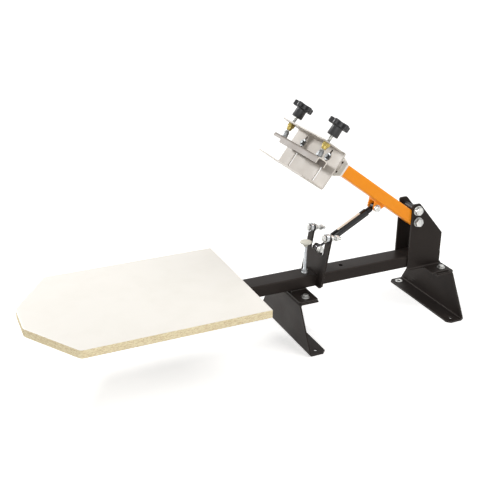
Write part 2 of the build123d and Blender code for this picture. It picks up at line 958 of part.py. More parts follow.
with BuildPart() as stop_cap:
    with BuildSketch(facing_near(stop_x, 0, stop_top)) as profile:
        with BuildLine():
            neck_radius = m8_radius + stop_neck_wall
            Polyline(
                (0, 0),
                (0, -stop_cap_height),
                (neck_radius, -stop_cap_height),
                (neck_radius, -stop_cap_skirt - stop_cap_taper),
                (stop_cap_radius, -stop_cap_skirt),
                (stop_cap_radius, -stop_cap_crown),
            )
            TangentArc((0, 0), (stop_cap_radius, -stop_cap_crown), tangent=(1, 0))
        make_face()
    revolve(profile.sketch, axis=Axis((stop_x, 0, 0), (0, 0, 1)))
    hole(facing_down(stop_x, 0, cap_bottom), m8_radius + fit_gap, stop_cap_height / 2)
save(stop_cap, "stop_cap")

with BuildPart() as stop_nut:
    ring(
        facing_up(stop_x, 0, tube_top),
        stop_nut_flange_radius,
        stop_nut_flange,
        m8_radius + fit_gap,
    )
    hexagon(
        facing_up(stop_x, 0, tube_top + stop_nut_flange),
        m8_flats,
        m8_nut,
        m8_radius + fit_gap,
    )
save(stop_nut, "stop_nut")

# ======== Clamp head ========
with BuildPart() as head_link:
    with BuildSketch(arm_across(arm_length + end_plate_sheet)):
        Circle(link_radius)
    extrude(amount=link_length)
save(head_link, "head_link")

with BuildPart() as head_bracket:
    with BuildSketch(arm_across(head_u)):
        RectangleRounded(2 * bracket_half_width, 2 * bracket_half_height, bracket_corner)
        with Locations((-slot_y, slot_bolt_h), (slot_y, slot_bolt_h)):
            Circle(m6_radius + fit_gap, mode=Mode.SUBTRACT)
    extrude(amount=bracket_sheet - running_gap)
save(head_bracket, "head_bracket")

with BuildPart() as clamp_frame:
    folded_sheet(
        arm_side(),
        [
            (clamp_back_u + clamp_top_depth + clamp_sheet, clamp_top_h),
            (clamp_back_u, clamp_top_h),
            (clamp_back_u, clamp_jaw_h),
            (clamp_back_u + clamp_jaw_depth + clamp_sheet, clamp_jaw_h),
        ],
        clamp_bend + clamp_sheet,
        clamp_sheet,
        Side.LEFT,
        2 * clamp_half_width,
    )
    with BuildSketch(arm_level(clamp_top_h)) as ends:
        with Locations((clamp_back_u + clamp_sheet + clamp_bend, 0)):
            Rectangle(
                2 * clamp_top_depth,
                2 * clamp_half_width,
                align=(Align.MIN, Align.CENTER),
            )
            Rectangle(
                2 * clamp_top_depth,
                2 * clamp_top_half_width,
                align=(Align.MIN, Align.CENTER),
                mode=Mode.SUBTRACT,
            )
    extrude(ends.sketch, amount=clamp_sheet + clamp_bend, both=True, mode=Mode.SUBTRACT)
    with BuildSketch(arm_across(clamp_back_u)) as slots:
        slot_mid = (slot_top_h + slot_bottom_h) / 2
        with Locations((-slot_y, slot_mid), (slot_y, slot_mid)):
            SlotOverall(slot_top_h - slot_bottom_h, 2 * slot_radius, rotation=90)
    extrude(slots.sketch, amount=clamp_sheet, mode=Mode.SUBTRACT)
    for side in (-1, 1):
        hole(screw_plane(side * screw_y, clamp_top_h), m8_radius + fit_gap, clamp_sheet)
        hole(
            Plane(
                origin=arm_point(
                    clamp_back_u + 2 * clamp_sheet + clamp_bend,
                    clamp_jaw_h + clamp_sheet,
                    side * jaw_hole_y,
                ),
                x_dir=along,
                z_dir=square,
            ),
            jaw_hole_radius,
            clamp_sheet,
        )
save(clamp_frame, "clamp_frame")

with BuildPart() as slot_bolts:
    for side in (-1, 1):
        seat = Plane(
            origin=arm_point(
                clamp_back_u + clamp_sheet + m6_washer + running_gap,
                slot_bolt_h,
                side * slot_y,
            ),
            x_dir=near,
            z_dir=along,
        )
        grip = m6_washer + running_gap + clamp_sheet + bracket_sheet
        length = grip + m6_nut + thread_past_nut - fit_gap
        hex_bolt(seat, m6_radius, length, m6_flats, m6_head)
save(slot_bolts, "slot_bolts")

with BuildPart() as slot_nuts:
    for side in (-1, 1):
        seat = Plane(
            origin=arm_point(head_u, slot_bolt_h, side * slot_y), x_dir=near, z_dir=-along
        )
        hexagon(seat, m6_flats, m6_nut, m6_radius + fit_gap)
save(slot_nuts, "slot_nuts")

with BuildPart() as slot_washers:
    for side in (-1, 1):
        seat = Plane(
            origin=arm_point(
                clamp_back_u + clamp_sheet + running_gap, slot_bolt_h, side * slot_y
            ),
            x_dir=near,
            z_dir=along,
        )
        ring(seat, m6_washer_radius, m6_washer, m6_radius + washer_gap)
save(slot_washers, "slot_washers")

with BuildPart() as clamp_bushes:
    for side in (-1, 1):
        under_top = screw_plane(side * screw_y, clamp_top_h - clamp_sheet)
        hexagon(under_top, bush_flats, -bush_hex)
        with BuildSketch(under_top.offset(-bush_hex)) as wide:
            Circle(bush_shoulder_radius)
        with BuildSketch(under_top.offset(-bush_hex - bush_cone)) as tip:
            Circle(bush_tip_radius)
        loft([wide.sketch, tip.sketch])
        hole(under_top, m8_radius + fit_gap, bush_hex + bush_cone)
save(clamp_bushes, "clamp_bushes")

# ======== Pressing bar ========
with BuildPart() as pressing_bar:
    folded_sheet(
        arm_side(),
        [
            (screw_u - bar_width / 2, bar_top_h - bar_height),
            (screw_u - bar_width / 2, bar_top_h),
            (screw_u + bar_width / 2, bar_top_h),
            (screw_u + bar_width / 2, bar_top_h - bar_height),
        ],
        bar_bend + bar_sheet,
        bar_sheet,
        Side.RIGHT,
        2 * bar_half_length,
    )
    for side in (-1, 1):
        hole(screw_plane(side * screw_y, bar_top_h), m8_radius + running_gap, bar_sheet)
        with BuildSketch(arm_across(screw_u + bar_width / 2)) as notch:
            with Locations((side * bar_half_length, bar_top_h - bar_height)):
                Rectangle(2 * bar_notch_length, 2 * bar_notch_height)
        extrude(notch.sketch, amount=-bar_sheet, mode=Mode.SUBTRACT)
save(pressing_bar, "pressing_bar")


# ======== Clamping screws with their knobs ========
lobe_reach = knob_radius - knob_lobe_radius
for side, side_name in ((-1, "near"), (1, "far")):
    y = side * screw_y
    hub = screw_plane(y, knob_hub_h)
    with BuildPart() as knob:
        with BuildSketch(hub.offset(knob_hub_height)) as star:
            Circle(lobe_reach)
            with PolarLocations(lobe_reach, knob_lobes):
                Circle(knob_lobe_radius)
            with PolarLocations(
                lobe_reach + knob_valley_reach, knob_lobes, 180 / knob_lobes
            ):
                Circle(knob_valley_radius, mode=Mode.SUBTRACT)
        extrude(amount=knob_head_height)
        faces = knob.faces().filter_by(Plane(origin=(0, 0, 0), z_dir=square))
        fillet(faces.edges(), knob_round)
        ring(hub, knob_hub_radius, knob_hub_height + knob_round)
        hole(hub.offset(knob_hub_recess), m8_radius + fit_gap, knob_hub_recess)
    save(knob, "knob_" + side_name)
    with BuildPart() as clamp_screw:
        low = screw_plane(y, bar_top_h - bar_sheet - running_gap)
        top_h = knob_hub_h + knob_hub_recess
        ring(low, m8_radius, top_h - bar_top_h + bar_sheet + running_gap)
        ring(low, retainer_radius, -retainer_thickness)
    save(clamp_screw, "clamp_screw_" + side_name)
    seat = screw_plane(y, bar_top_h + running_gap)
    dome_side = Plane(origin=seat.origin, x_dir=along, z_dir=far)
    with BuildPart() as dome_nut:
        hexagon(seat, m8_flats, dome_hex)
        with BuildSketch(dome_side) as profile:
            with BuildLine():
                Polyline(
                    (dome_radius, dome_neck),
                    (dome_radius, dome_hex),
                    (0, dome_hex),
                    (0, dome_height),
                    (dome_mouth, dome_height),
                )
                TangentArc(
                    (dome_radius, dome_neck), (dome_mouth, dome_height), tangent=(0, 1)
                )
            make_face()
        revolve(profile.sketch, axis=Axis(seat.origin, square))
        hole(seat.offset(dome_height), m8_radius + fit_gap, dome_height)
    save(dome_nut, "dome_nut_" + side_name)

# ---- Figures for the record
print("legs", leg_face_x, "tube", tube_bottom, tube_top)
print("gas spring", round(spring_length, 2), "mm")
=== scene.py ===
"""Tabletop screen printing press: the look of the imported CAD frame.

Sizes in this file are millimetres and turn to metres when a mesh is made. The
frame is the part's own: +Z up from the bench, -X to the pallet, -Y near. The
print arm is drawn raised: u runs along it from its pivot, h is square to it.
"""

import logging
from collections.abc import Callable, Sequence
from dataclasses import dataclass, field, replace
from enum import Enum
from math import cos, pi, radians, sin, tan
from typing import Any

import bmesh
import bpy
import numpy as np
from mathutils import Matrix, Vector


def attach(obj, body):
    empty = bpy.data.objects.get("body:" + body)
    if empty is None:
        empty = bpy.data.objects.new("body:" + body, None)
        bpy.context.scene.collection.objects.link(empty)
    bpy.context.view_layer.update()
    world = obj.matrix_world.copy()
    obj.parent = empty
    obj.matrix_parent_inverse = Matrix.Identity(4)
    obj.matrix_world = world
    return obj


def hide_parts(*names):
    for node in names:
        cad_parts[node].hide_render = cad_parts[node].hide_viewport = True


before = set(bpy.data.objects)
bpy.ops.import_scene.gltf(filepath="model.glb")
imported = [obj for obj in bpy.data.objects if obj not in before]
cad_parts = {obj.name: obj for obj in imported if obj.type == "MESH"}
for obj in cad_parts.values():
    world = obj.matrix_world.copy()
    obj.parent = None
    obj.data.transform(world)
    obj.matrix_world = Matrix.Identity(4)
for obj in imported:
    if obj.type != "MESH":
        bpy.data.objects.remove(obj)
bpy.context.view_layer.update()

log = logging.getLogger("press")
MM = 0.001
PHOTO_PIXELS = 478
TURN = 2 * pi
SIDES = (-1, 1)
WHITE = "#FFFFFF"
WELD = 2e-6  # corners closer than this many metres are one
COPLANAR = radians(0.6)  # faces that turn less than this are one
SHARP = 40.0  # edges of CAD sheets that turn more degrees than this are eased
ACROSS = 0.97  # least y of the normal of a face that looks across the press
GLOSS_SPAN = (0.3, 0.7)  # a pattern's values between which roughness swings
Triple = Sequence[float] | np.ndarray
Node = bpy.types.Node
Socket = bpy.types.NodeSocket
Tree = bpy.types.NodeTree


class Body(Enum):
    """Moving bodies of the press, by their names in the frame."""

    BASE = "base"
    ARM = "arm"
    CLAMP = "clamp"
    BAR = "bar"
    KNOB_NEAR = "knob_near"
    KNOB_FAR = "knob_far"
    SPRING_TUBE = "gas_cylinder"
    SPRING_ROD = "gas_rod"
    ROLLER_NEAR = "roller_near"
    ROLLER_FAR = "roller_far"
    DOWN_STOP = "down_stop"


class Slot(Enum):
    """Material slots of the record that finishes belong to."""

    BLACK_COAT = "black_coat"
    BLACK_PLASTIC = "black_plastic"
    ORANGE_COAT = "orange_coat"
    GREY_COAT = "grey_coat"
    BOARD = "melamine_board"
    ZINC = "zinc_steel"
    BEARING = "bearing_steel"
    BLACK_STEEL = "black_steel"
    CHROME = "rod_chrome"
    BRASS = "brass"
    RUBBER = "stop_rubber"


# ======== Colour and nodes ========
def linear(colour: str) -> tuple[float, float, float, float]:
    """Turns an sRGB hex colour to linear light.

    Args:
        colour: six hex digits after a hash.
    Returns:
        Red, green, blue and an alpha of one.
    """
    raw = np.array([int(colour[i:i + 2], 16) for i in (1, 3, 5)]) / 255.0
    light = np.where(raw <= 0.04045, raw / 12.92, ((raw + 0.055) / 1.055) ** 2.4)
    return (*(float(c) for c in light), 1.0)


def per_size(millimetres: float) -> float:
    """Texture scale whose pattern repeats over that many millimetres."""
    return 1.0 / (millimetres * MM)


def add_node(
    tree: Tree, kind: str, inputs: dict[str | int, Any] | None = None, **settings: str
) -> Node:
    """Adds one node with its settings, socket values and links.

    Args:
        tree: the node tree it joins.
        kind: the node's type name.
        inputs: socket values, or sockets that are linked in.
        settings: attributes of the node.
    Returns:
        The new node.
    """
    node = tree.nodes.new(kind)
    for key, value in settings.items():
        setattr(node, key, value)
    for key, value in (inputs or {}).items():
        if isinstance(value, Socket):
            tree.links.new(value, node.inputs[key])
        else:
            node.inputs[key].default_value = value
    return node


def seen_ray(tree: Tree) -> Socket:
    """One for rays from the camera, off gloss or through glass, and zero for others."""
    ray = add_node(tree, "ShaderNodeLightPath")
    seen = ray.outputs["Is Camera Ray"]
    for other in ("Is Glossy Ray", "Is Transmission Ray"):
        seen = add_node(tree, "ShaderNodeMath", {0: seen, 1: ray.outputs[other]},
                        operation="MAXIMUM").outputs[0]
    return seen


@dataclass(frozen=True)
class Finish:
    """A surface finish and the record's slot that it belongs to, if any.

    Each kind dresses the shader in its own way. A sheet's cut edges may have a
    finish of their own, paler than its faces as a painted highlight.
    """

    name: str
    slot: Slot | None
    colour: str
    roughness: float
    # paler finish for eased edges and cut ends: a painted highlight
    edge: "Finish | None" = field(default=None, kw_only=True)

    def dress(self, tree: Tree, place: Socket, shader: Node) -> None:
        """Adds this finish's pattern to the shader.

        Args:
            tree: the material's nodes.
            place: object coordinates, in metres.
            shader: the Principled shader.
        """
        raise NotImplementedError

    def wear(self, tree: Tree, shader: Node, patch: Socket,
             span: tuple[float, float, float], other: str,
             relief: tuple[Socket, float, float],
             swing: tuple[float, float] = (0.0, 0.0),
             gloss: Socket | None = None) -> None:
        """Lets patterns show in the colour, in the relief and in the gloss.

        Args:
            tree: the material's nodes.
            shader: the Principled shader.
            patch: pattern that brings in the other colour.
            span: the patch's values where it starts and is full, and its share then.
            other: the other colour.
            relief: pattern of the height, its strength and its height in mm.
            swing: how far roughness goes below and above its own value.
            gloss: pattern of the roughness, or None for the patch.
        """
        share = add_node(tree, "ShaderNodeMapRange", {
            "Value": patch, "From Min": span[0], "From Max": span[1], "To Max": span[2],
        })
        colour = add_node(tree, "ShaderNodeMix", {
            0: share.outputs[0], 6: linear(self.colour), 7: linear(other),
        }, data_type="RGBA")
        bump = add_node(tree, "ShaderNodeBump", {
            "Height": relief[0], "Strength": relief[1], "Distance": relief[2] * MM,
        })
        tree.links.new(colour.outputs[2], shader.inputs["Base Color"])
        tree.links.new(bump.outputs[0], shader.inputs["Normal"])
        if any(swing):
            spread = add_node(tree, "ShaderNodeMapRange", {
                "Value": patch if gloss is None else gloss,
                "From Min": GLOSS_SPAN[0], "From Max": GLOSS_SPAN[1],
                "To Min": self.roughness - swing[0],
                "To Max": self.roughness + swing[1],
            })
            tree.links.new(spread.outputs[0], shader.inputs["Roughness"])

    def material(self) -> bpy.types.Material:
        """Makes the material once, and gives the same one after that."""
        made = bpy.data.materials.get(self.name)
        if made:
            return made
        made = bpy.data.materials.new(self.name)
        made.use_nodes = True
        tree = made.node_tree
        tree.nodes.clear()
        shader = add_node(tree, "ShaderNodeBsdfPrincipled", {
            "Base Color": linear(self.colour), "Roughness": self.roughness,
        })
        place = add_node(tree, "ShaderNodeTexCoord").outputs["Object"]
        self.dress(tree, place, shader)
        add_node(tree, "ShaderNodeOutputMaterial", {0: shader.outputs[0]})
        return made


@dataclass(frozen=True)
class PowderCoat(Finish):
    """Polyester powder baked on steel: an even skin with orange peel in its gloss."""

    pale: str
    peel_mm: float
    peel_height_mm: float
    cloud: float
    specular: float = 0.5
    tint: str = WHITE
    cloud_mm: float = 55.0
    gloss_swing: float = 0.06

    def dress(self, tree: Tree, place: Socket, shader: Node) -> None:
        """Peel in the normal, clouds in the colour and handling marks in the gloss."""
        shader.inputs["Specular IOR Level"].default_value = self.specular
        shader.inputs["Specular Tint"].default_value = linear(self.tint)
        peel = add_node(tree, "ShaderNodeTexNoise", {
            "Vector": place, "Scale": per_size(self.peel_mm), "Detail": 3.0,
            "Roughness": 0.55,
        }).outputs[0]
        cloud = add_node(tree, "ShaderNodeTexNoise", {
            "Vector": place, "Scale": per_size(self.cloud_mm), "Detail": 4.0,
        }).outputs[0]
        marks = [
            add_node(tree, "ShaderNodeMapRange", {
                "Value": pattern, "From Min": low, "From Max": high,
            }).outputs[0]
            for pattern, low, high in ((cloud, 0.35, 0.75), (peel, 0.3, 0.8))
        ]
        both = add_node(tree, "ShaderNodeMath", dict(enumerate(marks)),
                        operation="MAXIMUM")
        self.wear(tree, shader, both.outputs[0], (0.0, 1.0, self.cloud), self.pale,
                  (peel, 0.8, self.peel_height_mm),
                  (self.gloss_swing, self.gloss_swing), cloud)


@dataclass(frozen=True)
class PlatedMetal(Finish):
    """Plated, turned or ground metal: faint tool lines under a slow haze."""

    tarnish: str
    haze_mm: float = 9.0
    lines_mm: float = 0.35
    line_height_mm: float = 0.006

    def dress(self, tree: Tree, place: Socket, shader: Node) -> None:
        """Haze in the colour and gloss, and fine scratches in the normal."""
        shader.inputs["Metallic"].default_value = 1.0
        haze = add_node(tree, "ShaderNodeTexNoise", {
            "Vector": place, "Scale": per_size(self.haze_mm), "Detail": 5.0,
            "Roughness": 0.6,
        }).outputs[0]
        lines = add_node(tree, "ShaderNodeTexNoise", {
            "Vector": place, "Scale": per_size(self.lines_mm), "Detail": 2.0,
        }).outputs[0]
        self.wear(tree, shader, haze, (0.4, 0.75, 1.0), self.tarnish,
                  (lines, 0.6, self.line_height_mm), (0.07, 0.09))


@dataclass(frozen=True)
class Moulded(Finish):
    """Moulded or painted skin: spark grain from the tool, and dust."""

    worn: str
    grain_mm: float = 0.7
    grain_height_mm: float = 0.02
    dust: float = 0.3
    patch_mm: float = 12.0

    def dress(self, tree: Tree, place: Socket, shader: Node) -> None:
        """Fine pitted grain, and paler rubbed patches."""
        grain = add_node(tree, "ShaderNodeTexVoronoi", {
            "Vector": place, "Scale": per_size(self.grain_mm),
        }).outputs[0]
        patch = add_node(tree, "ShaderNodeTexNoise", {
            "Vector": place, "Scale": per_size(self.patch_mm), "Detail": 5.0,
            "Roughness": 0.65,
        }).outputs[0]
        self.wear(tree, shader, patch, (0.45, 0.8, self.dust), self.worn,
                  (grain, 0.5, self.grain_height_mm), (0.06, 0.08))


@dataclass(frozen=True)
class Melamine(Finish):
    """Melamine paper pressed on board: hard white skin with a fine pearl texture."""

    scuff: str
    pearl_mm: float = 1.3
    scuff_mm: float = 90.0

    def dress(self, tree: Tree, place: Socket, shader: Node) -> None:
        """Pearl bumps about a millimetre wide, and faint broad scuffs."""
        pearl = add_node(tree, "ShaderNodeTexNoise", {
            "Vector": place, "Scale": per_size(self.pearl_mm), "Detail": 2.0,
        }).outputs[0]
        cloud = add_node(tree, "ShaderNodeTexNoise", {
            "Vector": place, "Scale": per_size(self.scuff_mm), "Detail": 6.0,
            "Roughness": 0.6,
        }).outputs[0]
        self.wear(tree, shader, cloud, (0.45, 0.8, 0.5), self.scuff,
                  (pearl, 0.5, 0.02), (0.08, 0.08))


@dataclass(frozen=True)
class ParticleBoard(Finish):
    """Sawn edge of chip board: pressed wood chips from pale tan to dark brown."""

    dark: str
    chip_mm: float = 1.8
    dust_mm: float = 0.8

    def dress(self, tree: Tree, place: Socket, shader: Node) -> None:
        """Chips that lie flat, nearly four times as long as they are thick."""
        flat = add_node(tree, "ShaderNodeMapping", {
            "Vector": place, "Scale": (0.45, 0.45, 1.6),
        }).outputs[0]
        chips = add_node(tree, "ShaderNodeTexVoronoi", {
            "Vector": flat, "Scale": per_size(self.chip_mm),
        })
        tone = add_node(tree, "ShaderNodeSeparateColor", {
            0: chips.outputs["Color"],
        })
        dust = add_node(tree, "ShaderNodeTexNoise", {
            "Vector": flat, "Scale": per_size(self.dust_mm), "Detail": 4.0,
        })
        blend = add_node(tree, "ShaderNodeMath", {
            0: tone.outputs[0], 1: dust.outputs[0],
        }, operation="MULTIPLY").outputs[0]
        self.wear(tree, shader, blend, (0.1, 0.75, 1.0), self.dark,
                  (blend, 0.9, 0.25))


@dataclass(frozen=True)
class Backdrop(Finish):
    """Pale studio paper, which the camera and mirrors see as white."""

    lift: str
    near: float = 1.3
    far: float = 3.0
    fibre_mm: float = 3.0
    fibre_height_mm: float = 0.05

    def dress(self, tree: Tree, place: Socket, shader: Node) -> None:
        """Faint paper fibre, and light added for camera, gloss and glass rays.

        The lift grows to full white from near to far (metres from the object), where
        the lamps no longer reach.
        """
        fibre = add_node(tree, "ShaderNodeTexNoise", {
            "Vector": place, "Scale": per_size(self.fibre_mm), "Detail": 3.0,
        })
        bump = add_node(tree, "ShaderNodeBump", {
            "Height": fibre.outputs[0], "Strength": 0.1,
            "Distance": self.fibre_height_mm * MM,
        })
        away = add_node(tree, "ShaderNodeVectorMath", {0: place},
                        operation="LENGTH")
        share = add_node(tree, "ShaderNodeMapRange", {
            "Value": away.outputs["Value"],
            "From Min": self.near, "From Max": self.far,
        })
        lift = add_node(tree, "ShaderNodeMix", {
            0: share.outputs[0], 6: linear(self.lift), 7: linear(WHITE),
        }, data_type="RGBA")
        tree.links.new(bump.outputs[0], shader.inputs["Normal"])
        tree.links.new(seen_ray(tree), shader.inputs["Emission Strength"])
        tree.links.new(lift.outputs[2], shader.inputs["Emission Color"])


# Powder coats: a soft even sheen on faces; eased edges paler and smoother, a painted
# highlight
BLACK_EDGE_HIGHLIGHT = PowderCoat("black_powder_coat_painted_edge_highlight", Slot.BLACK_COAT, "#3E3A37", 0.45,
                        "#5C5752", 1.1, 0.05, 0.45, 0.35)
BLACK_COAT = PowderCoat("textured_black_powder_coat", Slot.BLACK_COAT, "#1F1B19",
                        0.42, "#332E2B", 1.1, 0.09, 0.4, 0.15, "#FFF0E8",
                        edge=BLACK_EDGE_HIGHLIGHT)
ORANGE_COAT = PowderCoat("orange_powder_coat", Slot.ORANGE_COAT, "#FF9510", 0.34,
                         "#FFA92A", 2.4, 0.02, 0.35, tint="#FFDDB4")
# paler grey on eased edges and the bar's cut ends: a painted highlight
GREY_EDGE_HIGHLIGHT = PowderCoat("grey_powder_coat_painted_edge_highlight", Slot.GREY_COAT, "#E9E1D6", 0.42,
                       "#F2EADF", 2.0, 0.02, 0.5)
GREY_COAT = PowderCoat("warm_grey_powder_coat", Slot.GREY_COAT, "#C8C1B8", 0.5,
                       "#D6CEC4", 2.0, 0.03, 0.5, 0.35, edge=GREY_EDGE_HIGHLIGHT)
# end plate's grey painted paler, to make up for the clamp's shade on it: painted light
PLATE_COAT_PAINTED_LIGHT = replace(GREY_COAT, name="grey_powder_coat_painted_light", colour="#FAF4EA",
                     pale="#FFFBF2")
BAR_COAT = replace(GREY_COAT, name="rose_grey_powder_coat", colour="#978F88",
                   pale="#AAA098")
# Metals: mirrors that haze and tool lines soften, from bright zinc to black oxide
ZINC = PlatedMetal("bright_zinc_plate", Slot.ZINC, "#DDDDD9", 0.34, "#96989A")
# rougher zinc, its colour darkened as painted shade for the clamp's slot fasteners and
# cap nuts
DULL_ZINC_PAINTED_SHADE = PlatedMetal("dull_zinc_plate_painted_shade", Slot.ZINC, "#8E9091", 0.5, "#5C5E60")
ROD_ZINC = PlatedMetal("satin_zinc_rod", Slot.ZINC, "#C6C9CB", 0.46, "#A0A3A6")
BEARING = PlatedMetal("ground_bearing_steel", Slot.BEARING, "#C4C6C8", 0.2, "#9A9C9E",
                      lines_mm=0.25)
SHIELD = PlatedMetal("pressed_bearing_shield", Slot.BEARING, "#8F8A84", 0.42,
                     "#6E6862")
NITRIDED = PlatedMetal("nitrided_rod", Slot.CHROME, "#4A494B", 0.24, "#2E2D2F",
                       haze_mm=20.0)
BRASS = PlatedMetal("turned_brass", Slot.BRASS, "#BEAA66", 0.28, "#8F7C3E",
                    haze_mm=6.0)
BLACK_STEEL = PlatedMetal("black_oxide_steel", Slot.BLACK_STEEL, "#3A3A3C", 0.38,
                          "#2A2A2C")
# dark red-brown screw heads: painted shade of the end plate's holes, with the orange
# arm dim behind them
HOLE_SHADE_STEEL = PlatedMetal("screw_painted_hole_shade", Slot.BLACK_STEEL, "#40241A", 0.5,
                          "#2A1812")
# Plastics, rubber, paint and foil: a grained skin with broad highlights and dust
KNOB_PLASTIC = Moulded("black_moulded_nylon", Slot.BLACK_PLASTIC, "#1D1D1F", 0.38,
                       "#3C3C3E")
PLUG_PLASTIC = Moulded("black_polythene", Slot.BLACK_PLASTIC, "#161617", 0.48,
                       "#2E2E30", grain_mm=1.0)
STOP_RUBBER = Moulded("pale_rubber", Slot.RUBBER, "#D6D4C8", 0.62, "#C2BFB2",
                      dust=0.5)
SPRING_PAINT = Moulded("black_spring_paint", Slot.BLACK_COAT, "#101011", 0.1,
                       "#1C1C1D", grain_mm=1.4, grain_height_mm=0.004)
LABEL = Moulded("blank_foil_label", Slot.BLACK_COAT, "#E6D8C6", 0.4, "#D4C6B2",
                grain_mm=1.6)
# Board and paper: a hard white skin, speckled chips at its sawn edge, a matt floor
MELAMINE = Melamine("white_melamine", Slot.BOARD, "#F8F4EC", 0.4, "#EEEAE0")
BOARD_EDGE = ParticleBoard("particle_board_edge", Slot.BOARD, "#FAEDC8", 0.85,
                           "#C6A974")
FLOOR = Backdrop("studio_paper", None, "#E8E7E5", 0.9, "#BEBEBE")


# ======== Surfaces ========
@dataclass
class Surface:
    """Points in millimetres, their faces, and which finish each face takes."""

    points: np.ndarray
    faces: list[list[int]]
    finish: np.ndarray

    def joined(self, *others: "Surface") -> "Surface":
        """This surface and others as one."""
        parts = (self, *others)
        starts = np.cumsum([0] + [len(p.points) for p in parts[:-1]])
        faces = [
            [i + int(start) for i in face]
            for part, start in zip(parts, starts) for face in part.faces
        ]
        return Surface(
            np.concatenate([p.points for p in parts]), faces,
            np.concatenate([p.finish for p in parts]),
        )

    def lifted(self, height: float) -> "Surface":
        """The same surface, further up its own axis."""
        return Surface(self.points + [0.0, 0.0, height], self.faces, self.finish)


@dataclass(frozen=True)
class Placement:
    """Where a piece stands: its foot, the way it points, and its own x."""

    foot: Triple
    axis: Triple
    side: Triple = (0.0, 1.0, 0.0)

    @property
    def z(self) -> np.ndarray:
        """Unit step along the axis."""
        return np.array(self.axis) / np.linalg.norm(self.axis)

    def put(self, local: np.ndarray) -> np.ndarray:
        """Own points to the frame: foot + x side + y (axis x side) + z axis."""
        x = np.array(self.side) - np.dot(self.side, self.z) * self.z
        x = x / np.linalg.norm(x)
        return np.array(self.foot) + local @ np.stack([x, np.cross(self.z, x), self.z])

    def moved(self, distance: float) -> "Placement":
        """The same placement, further along its axis."""
        return replace(self, foot=np.array(self.foot) + self.z * distance)


def skin(grid: np.ndarray, finish: Sequence[int] | None = None,
         loop: bool = False) -> Surface:
    """Grid of points to a closed surface.

    Rows follow a profile and columns go round it, so a face joins (row, column)
    to the next row and column. A row whose points all meet becomes one pole.

    Args:
        grid: rows x columns x 3 points, in millimetres.
        finish: number of the finish for each band between rows.
        loop: join the last row to the first.
    Returns:
        The surface, with its faces outwards where rows rise and columns turn left.
    """
    rows, columns = grid.shape[:2]
    index = np.arange(rows * columns).reshape(rows, columns)
    pole = np.ptp(grid, axis=1).max(axis=1) < 1e-9
    index[pole] = index[pole][:, :1]
    if loop:
        index = np.concatenate([index, index[:1]])
    beside = np.roll(index, -1, axis=1)
    quads = np.stack([index[:-1], beside[:-1], beside[1:], index[1:]], axis=-1)
    bands = np.repeat(
        np.array(finish if finish is not None else [0] * len(quads)), columns
    )
    quads = quads.reshape(-1, 4)
    low = quads[:, 0] == quads[:, 1]
    high = quads[:, 2] == quads[:, 3]
    plain = ~low & ~high
    faces = quads[plain].tolist() + quads[low & ~high][:, [0, 2, 3]].tolist()
    faces += quads[high & ~low][:, [0, 1, 2]].tolist()
    kinds = np.concatenate([bands[plain], bands[low & ~high], bands[high & ~low]])
    return Surface(grid.reshape(-1, 3), faces, kinds)


def eased(corners: Sequence[Sequence[float]], ease: float,
          steps: int = 4) -> np.ndarray:
    """Line of corners with each inner corner rounded.

    A corner P between A and B becomes the curve P + e(1-s)^2 a + e s^2 b, where
    a and b are unit steps towards A and B, e is the ease, and s runs 0 to 1.

    Args:
        corners: points of the profile, as (across, up).
        ease: how far from its corner the rounding starts, at most.
        steps: points in each rounding.
    Returns:
        The points of the eased line.
    """
    most = 0.45  # share of a side that one rounding may take
    line = np.array(corners, float)
    here, before, after = line[1:-1], line[:-2], line[2:]
    back = before - here
    on = after - here
    back_length = np.linalg.norm(back, axis=1, keepdims=True)
    on_length = np.linalg.norm(on, axis=1, keepdims=True)
    reach = np.minimum(ease, most * np.minimum(back_length, on_length))
    s = np.linspace(0.0, 1.0, steps)[None, :, None]
    curve = (
        here[:, None]
        + (reach * back / back_length)[:, None] * (1 - s) ** 2
        + (reach * on / on_length)[:, None] * s ** 2
    )
    return np.concatenate([line[:1], curve.reshape(-1, 2), line[-1:]])


def wrapped(rows: Sequence[tuple[Any, Any]], columns: int) -> np.ndarray:
    """Grid round an axis: (r cos a, r sin a, z), where r and z may vary with a.

    Args:
        rows: radius and height of each row, as numbers or one value for each column.
        columns: points round the axis.
    Returns:
        The grid, as rows x columns x 3.
    """
    angle = np.linspace(0, TURN, columns, endpoint=False)
    return np.stack([
        np.stack(np.broadcast_arrays(r * np.cos(angle), r * np.sin(angle), z), -1)
        for r, z in rows
    ])


def turned(corners: Sequence[Sequence[float]], ease: float = 0.0, columns: int = 48,
           loop: bool = False, finish: Sequence[int] | None = None,
           steps: int = 4) -> Surface:
    """Surface of revolution of a profile, with the profile's corners eased.

    Args:
        corners: the profile, as (radius, height).
        ease: how far from a corner its rounding starts, or zero for sharp ones.
        columns: points round it.
        loop: the profile closes on its first corner, which stays sharp.
        finish: number of the finish for each band.
        steps: points in each rounding.
    Returns:
        The surface.
    """
    line = [*corners, corners[0]] if loop else corners
    profile = eased(line, ease, steps) if ease else np.array(line, float)
    return skin(wrapped(profile[:-1] if loop else profile, columns), finish, loop)


